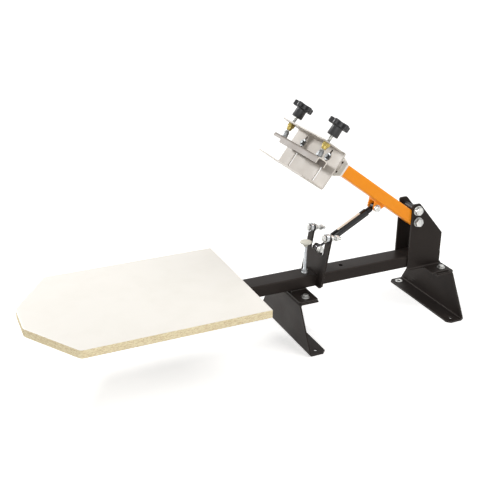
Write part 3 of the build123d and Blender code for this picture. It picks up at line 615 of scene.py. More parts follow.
def hexed(flats: float, height: float, bore: float = 0.0,
          under: float = 0.0) -> Surface:
    """Hexagon head or nut with turned corners.

    The flank's radius at angle a is (flats/2) / cos(a within its side), capped
    just under the corner, and the end faces fall away at 30 degrees outside a
    circle a little smaller than the flats.

    Args:
        flats: width across flats.
        height: thickness along the axis.
        bore: radius of its hole, or zero for a head.
        under: thickness of a plain washer face below it.
    Returns:
        The surface, standing on z = 0.
    """
    columns, corner_cap, ring_share, lead_share, dish = 72, 0.985, 0.95, 0.08, 0.2
    angle = np.linspace(0, TURN, columns, endpoint=False)
    side = TURN / 6
    flank = flats / 2 / np.cos((angle + side / 2) % side - side / 2)
    flank = np.minimum(flank, corner_cap * flats / 2 / cos(side / 2))
    ring = flats / 2 * ring_share
    fall = (flank - ring) * tan(radians(30))
    lead = lead_share * flats
    rows = [(bore + (lead if bore else 0.0), under), (ring, under),
            (flank, fall + under), (flank, height - fall),
            (ring, height), (bore + lead, height)]
    if bore:
        rows += [(bore, height - lead / 2), (bore, under + lead / 2)]
    else:
        rows += [(0.45 * ring, height - dish), (0.0, height - dish)]
    return skin(wrapped(rows, columns), loop=bool(bore))


def threaded(radius: float, length: float, pitch: float) -> Surface:
    """Threaded rod with a chamfered end.

    Radius at angle a and height z is the root plus the depth times a triangle
    wave of z/pitch - a/turn, and it narrows over the last pitch.

    Args:
        radius: over the crests.
        length: along the axis.
        pitch: from crest to crest.
    Returns:
        The surface, from z = 0 up.
    """
    columns, per_turn = 28, 8
    depth, run_out, taper = 0.5 * pitch, 0.8 * pitch, 0.9 * pitch
    angle = np.linspace(0, TURN, columns, endpoint=False)[None, :]
    z = np.linspace(0, length, max(int(length / pitch * per_turn), 2))[:, None]
    wave = np.abs(((z / pitch - angle / TURN) % 1.0) * 2 - 1)
    tip = np.clip((z - (length - run_out)) / pitch, 0, 1) * taper
    rows = zip(radius - depth * wave - tip, z)
    return skin(wrapped([(0.0, 0.0), *rows, (0.0, length)], columns))


def placed(surface: Surface, *places: Placement) -> Surface:
    """Copies of a surface at each placement, as one surface."""
    copies = [
        Surface(place.put(surface.points), surface.faces, surface.finish)
        for place in places
    ]
    return copies[0].joined(*copies[1:])


@dataclass(frozen=True)
class Thread:
    """Metric fastener sizes, and the bolt, nut and washer that they give."""

    radius: float
    pitch: float
    flats: float
    head: float
    nut: float
    washer_radius: float
    washer: float
    washer_play: float = 0.2
    nut_play: float = 0.05

    def flat_washer(self, radius: float | None = None) -> Surface:
        """Punched washer with rolled edges, of its own radius or of another."""
        r, top = radius or self.washer_radius, self.washer
        bore = self.radius + self.washer_play
        return turned([((bore + r) / 2, 0), (r, 0), (r, top), (bore, top), (bore, 0)],
                      0.35, loop=True)

    def hex_nut(self, height: float | None = None) -> Surface:
        """Hexagon nut, of its own height or of another."""
        return hexed(self.flats, height or self.nut, self.radius + self.nut_play)

    def bolt(self, length: float, thread: float) -> Surface:
        """Hexagon bolt: head up from z = 0, plain shank and a threaded end below.

        Args:
            length: from under the head to the tip.
            thread: length of the threaded end.
        Returns:
            The surface.
        """
        r, start, lap, into = self.radius - 0.05, thread - length, 0.4, 0.2
        shank = turned([(0, start), (r, start), (r, into), (0, into)], columns=32)
        end = threaded(self.radius, thread + lap, self.pitch)
        end.points = end.points * [1, -1, -1] + [0, 0, start + lap]
        return hexed(self.flats, self.head, under=0.35).joined(shank, end)


M12 = Thread(6.0, 1.75, 19.0, 7.5, 10.0, 12.0, 2.5)
M8 = Thread(4.0, 1.25, 13.0, 5.3, 6.8, 10.0, 1.6)
M6 = Thread(3.0, 1.0, 10.0, 4.0, 5.0, 9.0, 1.6)


# ======== Pieces ========
def linked(name: str, data: bpy.types.ID) -> bpy.types.Object:
    """A new object, linked to the scene."""
    thing = bpy.data.objects.new(name, data)
    bpy.context.scene.collection.objects.link(thing)
    return thing


def hung(mesh: bpy.types.Mesh, body: Body, face: Finish, second: Finish | None,
         nodes: Sequence[str], crease: float) -> bpy.types.Object:
    """Makes a piece of a mesh, dresses it, and ties it to its body and CAD nodes.

    Args:
        mesh: its shape, named as the piece is.
        body: the body it rides on.
        face: its finish.
        second: finish of the faces numbered one, if it has any.
        nodes: CAD nodes that it stands for.
        crease: edges sharper than this many degrees stay sharp.
    Returns:
        The piece.
    """
    mesh.polygons.foreach_set("use_smooth", np.ones(len(mesh.polygons), bool))
    mesh.set_sharp_from_angle(angle=radians(crease))
    piece = linked(mesh.name, mesh)
    for finish in filter(None, (face, second)):
        mesh.materials.append(finish.material())
    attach(piece, body.value)
    if nodes:
        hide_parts(*nodes)
    log.info("%s rides on %s", piece.name, body.value)
    return piece


def shown(surface: Surface, name: str, body: Body, face: Finish, *nodes: str,
          second: Finish | None = None, crease: float = 32.0) -> None:
    """Makes a piece from a surface and hangs it on its body.

    Args:
        surface: its shape.
        name: its name in the scene.
        body: the body it rides on.
        face: finish of the faces numbered zero.
        nodes: CAD nodes that it stands for.
        second: finish of the faces numbered one.
        crease: edges sharper than this many degrees stay sharp.
    """
    mesh = bpy.data.meshes.new(name)
    mesh.from_pydata((surface.points * MM).tolist(), [], surface.faces)
    mesh.polygons.foreach_set("material_index", surface.finish.astype(np.int32))
    work = bmesh.new()
    work.from_mesh(mesh)
    loose = [vert for vert in work.verts if not vert.link_faces]
    bmesh.ops.delete(work, geom=loose, context="VERTS")
    work.to_mesh(mesh)
    work.free()
    hung(mesh, body, face, second, nodes, crease)


def softened(node: str, name: str, body: Body, face: Finish, width: float,
             segments: int = 2,
             reshape: Callable[[np.ndarray], np.ndarray] | None = None,
             painted_highlight_ends: bool = False) -> None:
    """Copy of a CAD node whose sharp edges are eased, as deburred sheet is.

    Args:
        node: the CAD node that it stands for.
        name: its name in the scene.
        body: the body it rides on.
        face: finish of its faces. The eased edges take that finish's own edge, a
        paler painted highlight.
        width: how far the easing reaches, in mm.
        segments: bands in the easing.
        reshape: moves the corners, given and returned in mm.
        painted_highlight_ends: give the cut ends across the press the edge's finish
            too, a painted
        highlight.
    """
    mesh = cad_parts[node].data.copy()
    mesh.name = name
    work = bmesh.new()
    work.from_mesh(mesh)
    bmesh.ops.remove_doubles(work, verts=work.verts, dist=WELD)
    bmesh.ops.dissolve_limit(
        work, angle_limit=COPLANAR, verts=work.verts, edges=work.edges
    )
    if reshape is not None:
        corners = np.array([vert.co for vert in work.verts]) / MM
        for vert, corner in zip(work.verts, reshape(corners)):
            vert.co = corner * MM
        bmesh.ops.remove_doubles(work, verts=work.verts, dist=WELD)
        bmesh.ops.dissolve_degenerate(work, edges=work.edges, dist=WELD)
    work.to_mesh(mesh)
    work.free()
    if "custom_normal" in mesh.attributes:
        mesh.attributes.remove(mesh.attributes["custom_normal"])
    mesh.materials.clear()
    normals = np.empty(len(mesh.polygons) * 3)
    mesh.polygons.foreach_get("normal", normals)
    # cut ends across the press take the paler edge finish: a painted highlight
    ends = (np.abs(normals[1::3]) > ACROSS) & painted_highlight_ends
    mesh.polygons.foreach_set("material_index", ends.astype(int))
    piece = hung(mesh, body, face, face.edge, [node], SHARP)
    easing = piece.modifiers.new("eased_edges", "BEVEL")
    easing.width = width * MM
    easing.segments = segments
    easing.limit_method = "ANGLE"
    easing.angle_limit = radians(SHARP)
    easing.miter_outer = "MITER_ARC"
    easing.harden_normals = True
    easing.use_clamp_overlap = True
    # the eased edges take the paler edge finish: a painted highlight
    if face.edge is not None:
        easing.material = 1


NEAR = (0.0, -1.0, 0.0)
FAR = (0.0, 1.0, 0.0)
UP = (0.0, 0.0, 1.0)
DOWN = (0.0, 0.0, -1.0)


@dataclass
class ArmLine:
    """The raised arm's own directions through its pivot."""

    pivot_x: float = 127.8
    pivot_z: float = 242.8
    rise: float = radians(36.8)

    @property
    def along(self) -> np.ndarray:
        """Unit step from the pivot to the clamp head."""
        return np.array([-cos(self.rise), 0.0, sin(self.rise)])

    @property
    def square(self) -> np.ndarray:
        """Unit step square to the arm, upwards."""
        return np.array([sin(self.rise), 0.0, cos(self.rise)])

    def point(self, u: float, h: float, y: float = 0.0) -> np.ndarray:
        """Point u along the arm, h above its middle and y across."""
        pivot = np.array([self.pivot_x, y, self.pivot_z])
        return pivot + self.along * u + self.square * h


ARM = ArmLine()


# ======== Sub-assemblies ========
@dataclass
class BenchFrame:
    """Legs, saddles, pads and base tube, with the bolts that hold them."""

    bolt_x: float = 192.5
    bolt_y: float = 55.0
    flange_under: float = 106.0
    front_stack: float = 114.0
    rear_stack: float = 118.0
    past_nut: float = 3.0
    thread_in: float = 2.0
    bench_y: float = 112.0
    foot_top: float = 4.0

    def build(self) -> None:
        """Sheet parts from the CAD with eased edges, and full fasteners."""
        for node, name, width in (
            ("front_leg", "front_leg_bracket", 0.7),
            ("rear_leg", "rear_leg_bracket", 0.7),
            ("front_saddle", "front_saddle_plate", 0.5),
            ("rear_saddle", "rear_saddle_plate", 0.5),
            ("tube_pads", "tube_pads_plate", 0.5),
            ("base_tube", "base_tube_steel", 0.4),
        ):
            softened(node, name, Body.BASE, BLACK_COAT, width)
        softened("tube_plugs", "base_tube_plugs", Body.BASE, PLUG_PLASTIC, 1.0, 3)
        self.fasteners()

    def fasteners(self) -> None:
        """Four M8 bolts, each with a washer and a nut, and a washer on one foot."""
        seats = [
            (end * self.bolt_x, side * self.bolt_y, stack)
            for end, stack in ((-1, self.front_stack), (1, self.rear_stack))
            for side in SIDES
        ]
        flat = M8.flat_washer()
        shown(placed(flat, *(Placement(seat, UP) for seat in seats)),
              "leg_bolt_washers", Body.BASE, ZINC, "leg_washers")
        past = M8.nut + self.past_nut
        bolts = [
            placed(M8.bolt(z + M8.washer - self.flange_under + past,
                           past + self.thread_in),
                   Placement((x, y, z + M8.washer), UP, (1, 0.3, 0)))
            for x, y, z in seats
        ]
        shown(bolts[0].joined(*bolts[1:]), "leg_bolts_m8", Body.BASE, ZINC,
              "leg_bolts")
        under = [Placement((x, y, self.flange_under), DOWN) for x, y, _ in seats]
        shown(placed(M8.hex_nut(), *under), "leg_nuts_m8", Body.BASE, ZINC, "leg_nuts")
        bench = Placement((self.bolt_x, self.bench_y, self.foot_top), UP)
        shown(placed(flat, bench), "bench_washer", Body.BASE, ZINC)


@dataclass
class PalletBoard:
    """White faced board with a pointed nose, on its plate and wood screws."""

    front: float = -838.3
    rear: float = -338.3
    width: float = 350.0
    nose_width: float = 90.0
    nose_length: float = 87.0
    corner: float = 12.0
    corner_ease: float = 0.62  # of the radius, at these corners' angles
    arris: float = 0.4
    bottom: float = 153.0
    thickness: float = 19.0
    skin_mm: float = 0.5
    rim: float = 3.0
    plate_middle: float = -538.3
    plate_under: float = 150.0
    screw_x: float = 110.0
    screw_y: float = 55.0

    def outline(self) -> np.ndarray:
        """Board's edge from above, its front corners rounded, turning left."""
        half, nose = self.width / 2, self.nose_width / 2
        shoulder = self.front + self.nose_length
        corners = [
            (self.rear, half), (shoulder, half), (self.front, nose),
            (self.front, -nose), (shoulder, -half), (self.rear, -half),
        ]
        return eased(corners, self.corner * self.corner_ease, 9)

    def inset(self, line: np.ndarray, distance: float) -> np.ndarray:
        """Outline drawn in along the mean of its two edges' normals.

        Args:
            line: the outline's points.
            distance: how far in its edges go.
        Returns:
            The points, each moved by distance / cos(half the turn there).
        """
        before = line - np.roll(line, 1, axis=0)
        after = np.roll(line, -1, axis=0) - line
        before = before / np.linalg.norm(before, axis=1, keepdims=True)
        after = after / np.linalg.norm(after, axis=1, keepdims=True)
        normal = np.stack([-(before + after)[:, 1], (before + after)[:, 0]], axis=1)
        normal = normal / np.linalg.norm(normal, axis=1, keepdims=True)
        turn = np.sum(before * after, axis=1, keepdims=True)
        return line + normal * distance / np.sqrt((1 + turn) / 2)

    def build(self) -> None:
        """Board as rings of its outline: skin, arris, core, arris, skin."""
        line = self.outline()
        top = self.thickness
        low_rings = [(self.rim, 0.0), (self.arris, 0.0),
                     (0.05, self.skin_mm * 0.4), (0.0, self.skin_mm)]
        rings = low_rings + [(into, top - z) for into, z in low_rings[::-1]]
        grid = np.stack([
            np.insert(self.inset(line, into), 2, self.bottom + z, axis=1)
            for into, z in rings
        ])
        middle = np.array([(self.front + self.rear) / 2, 0.0, self.bottom])
        low = np.broadcast_to(middle, grid[:1].shape)
        high = np.broadcast_to(middle + [0, 0, top], grid[:1].shape)
        board = skin(np.concatenate([low, grid, high]), [0, 0, 0, 0, 1, 0, 0, 0, 0])
        shown(board, "pallet_board", Body.BASE, MELAMINE, "pallet", second=BOARD_EDGE)
        softened("pallet_plate", "pallet_carrier", Body.BASE, BLACK_COAT, 0.4)
        pan_head = turned([(0, -16), (2.4, -14), (2.4, 0), (5.0, 0), (4.6, 1.7),
                           (2.6, 2.6), (0, 2.6)], 0.7)
        shown(placed(pan_head, *(
            Placement((self.plate_middle + end * self.screw_x, side * self.screw_y,
                       self.plate_under), DOWN)
            for end in SIDES for side in SIDES
        )), "pallet_wood_screws", Body.BASE, ZINC, "pallet_screws")


@dataclass
class ArmPivot:
    """Uprights with the pivot bolt and the bolt that carries the up stop."""

    outer: float = 29.4
    stop_u: float = 20.9
    stop_h: float = 22.3
    past_nut: float = 3.0
    thread_in: float = 3.0

    def build(self) -> None:
        """Plates, sleeve, bolts, washers and nuts."""
        for side in ("near", "far"):
            softened(f"upright_{side}", f"upright_{side}_plate", Body.BASE, BLACK_COAT,
                     0.6)
        softened("up_stop_sleeve", "up_stop_roll", Body.BASE, PLUG_PLASTIC, 0.5, 3)
        spots = ((0.0, 0.0), (self.stop_u, self.stop_h))
        seat = self.outer + M12.washer
        past = M12.nut + self.past_nut
        one = M12.bolt(2 * seat + past, past + self.thread_in)
        for node, (u, h), turn in zip(
            ("pivot_bolt", "up_stop_bolt"), spots, ((1, 0, 0.35), (0.2, 0, 1))
        ):
            shown(placed(one, Placement(ARM.point(u, h, -seat), NEAR, turn)),
                  f"{node}_m12", Body.BASE, ZINC, node)
        shown(placed(M12.flat_washer(), *(
            Placement(ARM.point(u, h, side * self.outer), (0, side, 0), (1, 0, 0))
            for u, h in spots for side in SIDES
        )), "cross_washers_m12", Body.BASE, ZINC, "cross_bolt_washers")
        shown(placed(M12.hex_nut(), *(
            Placement(ARM.point(u, h, seat), FAR, (1, 0, 0.2)) for u, h in spots
        )), "cross_nuts_m12", Body.BASE, ZINC, "cross_bolt_nuts")


@dataclass
class PrintArm:
    """Orange arm tube with its end plate, lug, link and bracket."""

    length: float = 267.0
    end_plate: float = 5.0
    link_radius: float = 10.0
    link_length: float = 70.0
    weld_bead: float = 1.5
    bush_radius: float = 9.0
    bush_bore: float = 6.1
    width: float = 50.0
    end_screws: tuple[float, float] = (7.5, 12.5)

    def build(self) -> None:
        """Arm parts from the CAD, with a turned link, pivot bush and end screws."""
        for node, name, face, width, segments in (
            ("arm_tube", "arm_tube_orange", ORANGE_COAT, 0.4, 2),
            ("spring_lug", "spring_lug_orange", ORANGE_COAT, 0.6, 2),
            ("arm_plug", "arm_tail_plug", PLUG_PLASTIC, 1.0, 3),
            # the end plate takes the grey painted paler against the clamp's shade:
            # painted light
            ("arm_end_plate", "arm_end_plate_grey", PLATE_COAT_PAINTED_LIGHT, 0.7, 2),
            # the bracket is black as painted shade, for the dark seen through the
            # clamp's slots
            ("head_bracket", "head_bracket_painted_shade_black", BLACK_COAT, 0.6, 2),
        ):
            softened(node, name, Body.ARM, face, width, segments)
        r, bore, end = self.bush_radius, self.bush_bore, self.width
        bush = turned([(7.5, 0.3), (8.7, 0), (r, 0.4), (r, end - 0.4), (8.7, end),
                       (bore, end), (bore, 0)], 0.3, loop=True)
        shown(placed(bush, Placement(ARM.point(0, 0, end / 2), NEAR, (1, 0, 0))),
              "arm_pivot_bush", Body.ARM, BLACK_STEEL, "arm_bush")
        r, end, bead = self.link_radius, self.link_length, self.weld_bead
        link = turned([(0, 0), (r + bead, 0), (r + 0.7 * bead, 0.8 * bead), (r, bead),
                       (r, end - bead), (r + 0.7 * bead, end - 0.8 * bead),
                       (r + bead, end), (0, end)], 0.8)
        face = self.length + self.end_plate
        shown(placed(link, Placement(ARM.point(face, 0), ARM.along)), "head_link_bar",
              Body.ARM, GREY_COAT, "head_link")
        screw = turned([(0, -3.0), (2.1, -3.0), (2.1, 0.05), (2.8, 0.05), (2.7, 0.7),
                        (1.3, 1.1), (1.2, 0.4), (0, 0.4)], 0.25, 32)
        across, up = self.end_screws
        # end plate screws in dark red-brown: painted shade of its holes
        shown(placed(screw, *(
            Placement(ARM.point(face, h * up, y * across), ARM.along)
            for h in SIDES for y in SIDES
        )), "end_plate_screws_painted_shade", Body.ARM, HOLE_SHADE_STEEL)


@dataclass
class ScreenClamp:
    """Folded clamp frame on its slot bolts, with the brass bushes under its top."""

    back_u: float = 347.0
    sheet: float = 3.0
    slot_y: float = 57.0
    slot_h: float = 1.0
    gap: float = 0.3
    bracket: float = 5.0
    past_nut: float = 2.9
    thread_in: float = 1.0
    screw_depth: float = 41.2
    screw_y: float = 81.0
    top_h: float = 25.7
    bush_flats: float = 16.5
    bush_hex: float = 8.0
    bush_cone: float = 8.0
    bush_shoulder: float = 7.0
    bush_tip: float = 5.5

    def build(self) -> None:
        """Frame and slot fasteners."""
        softened("clamp_frame", "clamp_frame_sheet", Body.CLAMP, GREY_COAT, 0.5)
        seat = self.back_u + self.sheet + self.gap + M6.washer
        past = M6.nut + self.past_nut
        back = self.back_u - self.bracket
        for kind, one, u, axis, leans in (
            ("washers", M6.flat_washer(), seat - M6.washer, ARM.along, (0, 0)),
            ("bolts", M6.bolt(seat - back + past, past + self.thread_in), seat,
             ARM.along, (-0.2, 0.2)),
            ("nuts", M6.hex_nut(), back, -ARM.along, (0.3, 0.3)),
        ):
            # slot fasteners take the zinc darkened as painted shade
            shown(placed(one, *(
                Placement(ARM.point(u, self.slot_h, side * self.slot_y), axis,
                          (0, 1, lean))
                for side, lean in zip(SIDES, leans)
            )), f"slot_{kind}_m6", Body.ARM, DULL_ZINC_PAINTED_SHADE, f"slot_{kind}")
        self.bushes()

    def bushes(self) -> None:
        """Brass bushes: a hexagon that turns down to a cone, bored for the screw."""
        bore = M8.radius + 0.1
        block = hexed(self.bush_flats, self.bush_hex, bore)
        low, drop = self.bush_hex - 1, self.bush_hex + self.bush_cone
        cone = turned([
            (bore, low), (self.bush_shoulder, low),
            (self.bush_shoulder, self.bush_hex + 0.6), (self.bush_tip, drop - 0.5),
            (self.bush_tip - 0.6, drop), (bore, drop),
        ], 0.5, loop=True)
        u, h = self.back_u + self.screw_depth, self.top_h - self.sheet
        shown(placed(block.joined(cone), *(
            Placement(ARM.point(u, h, side * self.screw_y), -ARM.square)
            for side in SIDES
        )), "clamp_bushes_brass", Body.CLAMP, BRASS, "clamp_bushes")


@dataclass
class PressingBar:
    """Channel bar that the two knobs press on the frame of a screen."""

    screw_u: float = 388.2
    screw_y: float = 81.0
    bar_top: float = -12.0
    bar_sheet: float = 2.5
    bar_width: float = 27.0
    bar_height: float = 15.0
    bar_half: float = 104.0
    notch: float = 19.0
    notch_height: float = 6.0
    gap: float = 0.3
    in_knob: float = 12.0
    knob_foot: float = 41.0
    knob_hub_radius: float = 13.0
    knob_hub_height: float = 22.0
    knob_head: float = 13.0
    knob_radius: float = 26.0
    knob_lobes: int = 5
    lobe_radius: float = 8.3
    valley_radius: float = 8.8
    valley_reach: float = 6.5
    knob_edge: float = 2.8
    dome_hex: float = 6.0
    dome_height: float = 15.0
    dome_neck: float = 8.5
    dome_radius: float = 6.5
    dome_mouth: float = 4.6
    dome_bore: float = 4.1
    collar_radius: float = 7.0
    collar: float = 2.0

    def notched(self, corners: np.ndarray) -> np.ndarray:
        """Front flange cut away at the far end alone, twice as far as the solid's.

        A corner's u and h are its distances along and square to the arm. The near
        notch closes: its top goes down to the flange's edge. The far step moves in.

        Args:
            corners: the solid's corners, in mm.
        Returns:
            The moved corners.
        """
        near = 0.1
        from_pivot = corners - ARM.point(0, 0)
        u, h = from_pivot @ ARM.along, from_pivot @ ARM.square
        y = corners[:, 1]
        front = u > self.screw_u + self.bar_width / 2 - self.bar_sheet - near
        edge = self.bar_top - self.bar_height
        top = front & (np.abs(h - edge - self.notch_height) < near)
        low = front & (np.abs(h - edge) < near)
        step = np.abs(np.abs(y) - self.bar_half + self.notch) < near
        moved = corners.copy()
        moved[top & (y < 0)] -= ARM.square * self.notch_height
        moved[(top | low) & step & (y > 0), 1] -= self.notch
        return moved

    def outline(self, angle: np.ndarray) -> np.ndarray:
        """Knob's radius at an angle: five round lobes joined by round valleys.

        A lobe of radius r at distance d gives d cos a + sqrt(r^2 - d^2 sin^2 a),
        and a valley circle of radius v at distance w, half a lobe round, gives
        w cos b - sqrt(v^2 - w^2 sin^2 b). The valley cuts the lobes, and a short
        running mean rounds the joints.

        Args:
            angle: angles round the knob, evenly spaced over a turn.
        Returns:
            The radius at each.
        """
        step = TURN / self.knob_lobes
        a = (angle + step / 2) % step - step / 2
        b = angle % step - step / 2
        r = self.lobe_radius
        d = self.knob_radius - r
        v, w = self.valley_radius, d + self.valley_reach
        lobe = d * np.cos(a) + np.sqrt(np.maximum(r * r - (d * np.sin(a)) ** 2, 0))
        lobe = np.where(np.abs(d * np.sin(a)) < r, np.maximum(lobe, d), d)
        dip = w * np.cos(b) - np.sqrt(np.maximum(v * v - (w * np.sin(b)) ** 2, 0))
        cut = np.where(np.abs(w * np.sin(b)) < v, dip, np.inf)
        raw = np.minimum(lobe, cut)
        spread = np.hanning(9) / np.hanning(9).sum()
        return np.convolve(np.concatenate([raw[-4:], raw, raw[:4]]), spread, "valid")

    def knob(self) -> Surface:
        """Moulded knob: hub, flare, lobed head with rounded rims, shallow top dish.

        A row is (circle, height, share, inset), and mixes a circle with the lobed
        outline: radius = circle + share x (outline - inset - circle).
        """
        columns = 200
        lobed = self.outline(np.linspace(0, TURN, columns, endpoint=False))
        hub, foot = self.knob_hub_radius, self.knob_hub_height
        top, e = foot + self.knob_head, self.knob_edge
        s = np.linspace(0, pi / 2, 6)
        rows = [(0, 0.8, 0, 0), (4.2, 0.8, 0, 0), (5.0, 0, 0, 0), (hub - 1, 0, 0, 0),
                (hub, 1, 0, 0), (hub - 0.5, foot - 2.5, 0, 0),
                (hub + 0.2, foot - 0.7, 0, 0), (hub + 1.6, foot, 0, 0)]
        rows += [(0, foot + e * (1 - cos(t)), 1, e * (1 - sin(t))) for t in s]
        rows += [(0, top - e * (1 - sin(t)), 1, e * (1 - cos(t))) for t in s]
        rows += [(0, top, 1, e + 2.0), (11.0, top, 0, 0), (10.2, top - 0.7, 0, 0),
                 (0, top - 0.9, 0, 0)]
        return skin(wrapped([
            (circle + share * (lobed - into - circle), z)
            for circle, z, share, into in rows
        ], columns))

    def dome_nut(self) -> Surface:
        """Cap nut: hexagon with a dome r sqrt(1 - t^2) on it."""
        r, bore, foot = self.dome_radius, self.dome_bore, self.dome_hex - 0.5
        t = np.linspace(0, np.sqrt(1 - (self.dome_mouth / r) ** 2), 12)
        rise = (self.dome_height - self.dome_neck) / t[-1]
        dome = [(r * float(np.sqrt(1 - k * k)), self.dome_neck + rise * k) for k in t]
        return M8.hex_nut(self.dome_hex).joined(turned(
            [(r, foot), *dome, (bore, self.dome_height - 0.4), (bore, foot)], loop=True
        ))

    def build(self) -> None:
        """Bar, screws, collars, nuts and knobs."""
        # the bar's cut ends take the paler edge finish: a painted highlight
        softened("pressing_bar", "pressing_bar_channel", Body.BAR, BAR_COAT, 0.4,
                 reshape=self.notched, painted_highlight_ends=True)
        low = self.bar_top - self.bar_sheet - self.gap
        rod = threaded(M8.radius, self.knob_foot + self.in_knob - low, M8.pitch)
        collar = turned([(0, -self.collar), (self.collar_radius, -self.collar),
                         (self.collar_radius, 0), (0, 0)], 0.4)
        for side, body, name in zip(SIDES, (Body.KNOB_NEAR, Body.KNOB_FAR),
                                    ("near", "far")):
            foot = ARM.point(self.screw_u, low, side * self.screw_y)
            at = Placement(foot, ARM.square, (0.6, 1, 0))
            shown(placed(rod.joined(collar), at), f"clamping_screw_{name}", body, ZINC,
                  f"clamp_screw_{name}", crease=60)
            seat = at.moved(self.bar_top + self.gap - low)
            # cap nuts take the zinc darkened as painted shade
            shown(placed(self.dome_nut(), seat), f"cap_nut_{name}", body, DULL_ZINC_PAINTED_SHADE,
                  f"dome_nut_{name}")
            hub = at.moved(self.knob_foot - low)
            shown(placed(self.knob(), hub), f"lobed_knob_{name}", body, KNOB_PLASTIC,
                  f"knob_{name}", crease=50)


@dataclass
class GasSpring:
    """Gas spring between the arm's lug and the gate, with its end fittings."""

    top_u: float = 118.0
    top_h: float = -29.0
    base_x: float = -133.3
    base_z: float = 208.0
    radius: float = 9.5
    bore: float = 8.6
    rod: float = 3.0
    shows: float = 38.0
    inside: float = 48.0
    fitting: float = 26.0
    eye_radius: float = 7.5
    eye_bore: float = 4.1
    eye_width: float = 12.0
    neck_radius: float = 5.5
    neck: float = 9.5
    lug_half: float = 14.0
    ear_face: float = 10.3
    past_nut: float = 3.0
    thread_in: float = 1.0
    washer_radius: float = 8.8
    label: tuple[float, float] = (62.8, 130.2)
    label_middle: float = radians(66.0)
    label_half: float = radians(47.0)
    label_proud: float = 0.12
    label_under: float = 0.1

    @property
    def base(self) -> np.ndarray:
        """Lower pivot."""
        return np.array([self.base_x, 0.0, self.base_z])

    @property
    def line(self) -> np.ndarray:
        """From the lower pivot to the upper one."""
        return ARM.point(self.top_u, self.top_h) - self.base

    def at(self, distance: float, back: bool = False) -> Placement:
        """Placement along the spring, from its lower pivot."""
        step = self.line / np.linalg.norm(self.line)
        return Placement(self.base + step * distance, -step if back else step, FAR)

    def build(self) -> None:
        """Tube with rolled mouth, bare label, rod and both eyes with their bolts."""
        end = float(np.linalg.norm(self.line)) - self.fitting
        r, b, n, long = self.radius, self.bore, self.neck_radius, end - self.shows
        tube = turned([
            (7.9, 0.5), (8.3, 0.0), (8.9, 0.1), (r, 1.2), (r, 3.6), (r - 0.35, 4.2),
            (r - 0.35, 5.0), (r, 5.6), (r, long), (b, long), (b, 3.0), (7.9, 2.0),
        ], 0.5, 64, loop=True)
        shown(placed(tube, self.at(self.shows)), "gas_spring_tube", Body.SPRING_TUBE,
              SPRING_PAINT, "spring_cylinder")
        self.label_band()
        cup = turned([(0, -3.5), (b - 0.1, -3.5), (b - 0.1, 0), (r, 0), (r, 2.6),
                      (8.2, 4.0), (7.0, 4.4), (7.0, 14), (5.6, 18.5), (0, 18.5)], 0.8)
        top = self.at(end)
        shown(self.eye(top, self.fitting).joined(placed(cup, top)), "spring_tube_eye",
              Body.SPRING_TUBE, BLACK_STEEL, "spring_fitting")
        tip = self.shows + self.inside
        stem = turned([(0, 4.0), (self.rod, 4.0), (self.rod, tip), (0, tip)], 0.5, 40)
        neck = turned([(0, 0), (4.6, 0), (n, 1.2), (n, 4.0), (0, 5.0)], 0.6)
        foot = self.at(self.neck, True)
        low = self.eye(foot, self.neck).joined(placed(neck, foot),
                                               placed(stem, self.at(0)))
        shown(low, "spring_rod_and_eye", Body.SPRING_ROD, NITRIDED, "spring_rod")
        self.bolts()

    def label_band(self) -> None:
        """Bare label: a patch of the tube's wall, just proud, on its upper side."""
        along = np.linspace(*self.label, 24)[:, None]
        across = self.label_middle + np.linspace(-1, 1, 28)[None, :] * self.label_half
        proud, under = (
            np.stack(np.broadcast_arrays(r * np.cos(across), r * np.sin(across), along),
                     -1)
            for r in (self.radius + self.label_proud, self.radius - self.label_under)
        )
        rim = np.concatenate([proud, under[:, ::-1]], axis=1)
        ends = [np.broadcast_to(rim[i].mean(axis=0), rim[:1].shape) for i in (0, -1)]
        patch = skin(np.concatenate([ends[0], rim, ends[1]]))
        shown(placed(patch, self.at(0)), "spring_label_bare", Body.SPRING_TUBE, LABEL)

    def eye(self, foot: Placement, reach: float) -> Surface:
        """Eye of an end fitting: a bored roller across the spring.

        Args:
            foot: where the fitting starts.
            reach: from there to the eye's middle.
        Returns:
            The roller, in its place.
        """
        r, bore, w = self.eye_radius, self.eye_bore, self.eye_width
        roller = turned([((r + bore) / 2, 0), (r, 0), (r, w), (bore, w), (bore, 0)],
                        0.7, loop=True)
        far_face = foot.moved(reach).foot + [0, w / 2, 0]
        return placed(roller, Placement(far_face, NEAR, (1, 0, 0)))

    def bolts(self) -> None:
        """M8 bolts through both eyes, each with a washer and a nut."""
        flat = M8.flat_washer(self.washer_radius)
        for (x, _, z), half, body, node, past in (
            (ARM.point(self.top_u, self.top_h), self.lug_half, Body.ARM, "spring_top",
             M8.nut + self.past_nut),
            (self.base, self.ear_face, Body.BASE, "spring_base", M8.nut),
        ):
            one = M8.bolt(2 * half + past + M8.washer, past + self.thread_in)
            seat = Placement((x, -half, z), NEAR, (1, 0, 0.5))
            shown(placed(one.lifted(M8.washer).joined(flat), seat),
                  f"{node}_bolt_m8", body, ZINC, f"{node}_bolt")
            shown(placed(M8.hex_nut(), Placement((x, half, z), FAR, (1, 0, 0.1))),
                  f"{node}_nut_m8", body, ZINC, f"{node}_nut")


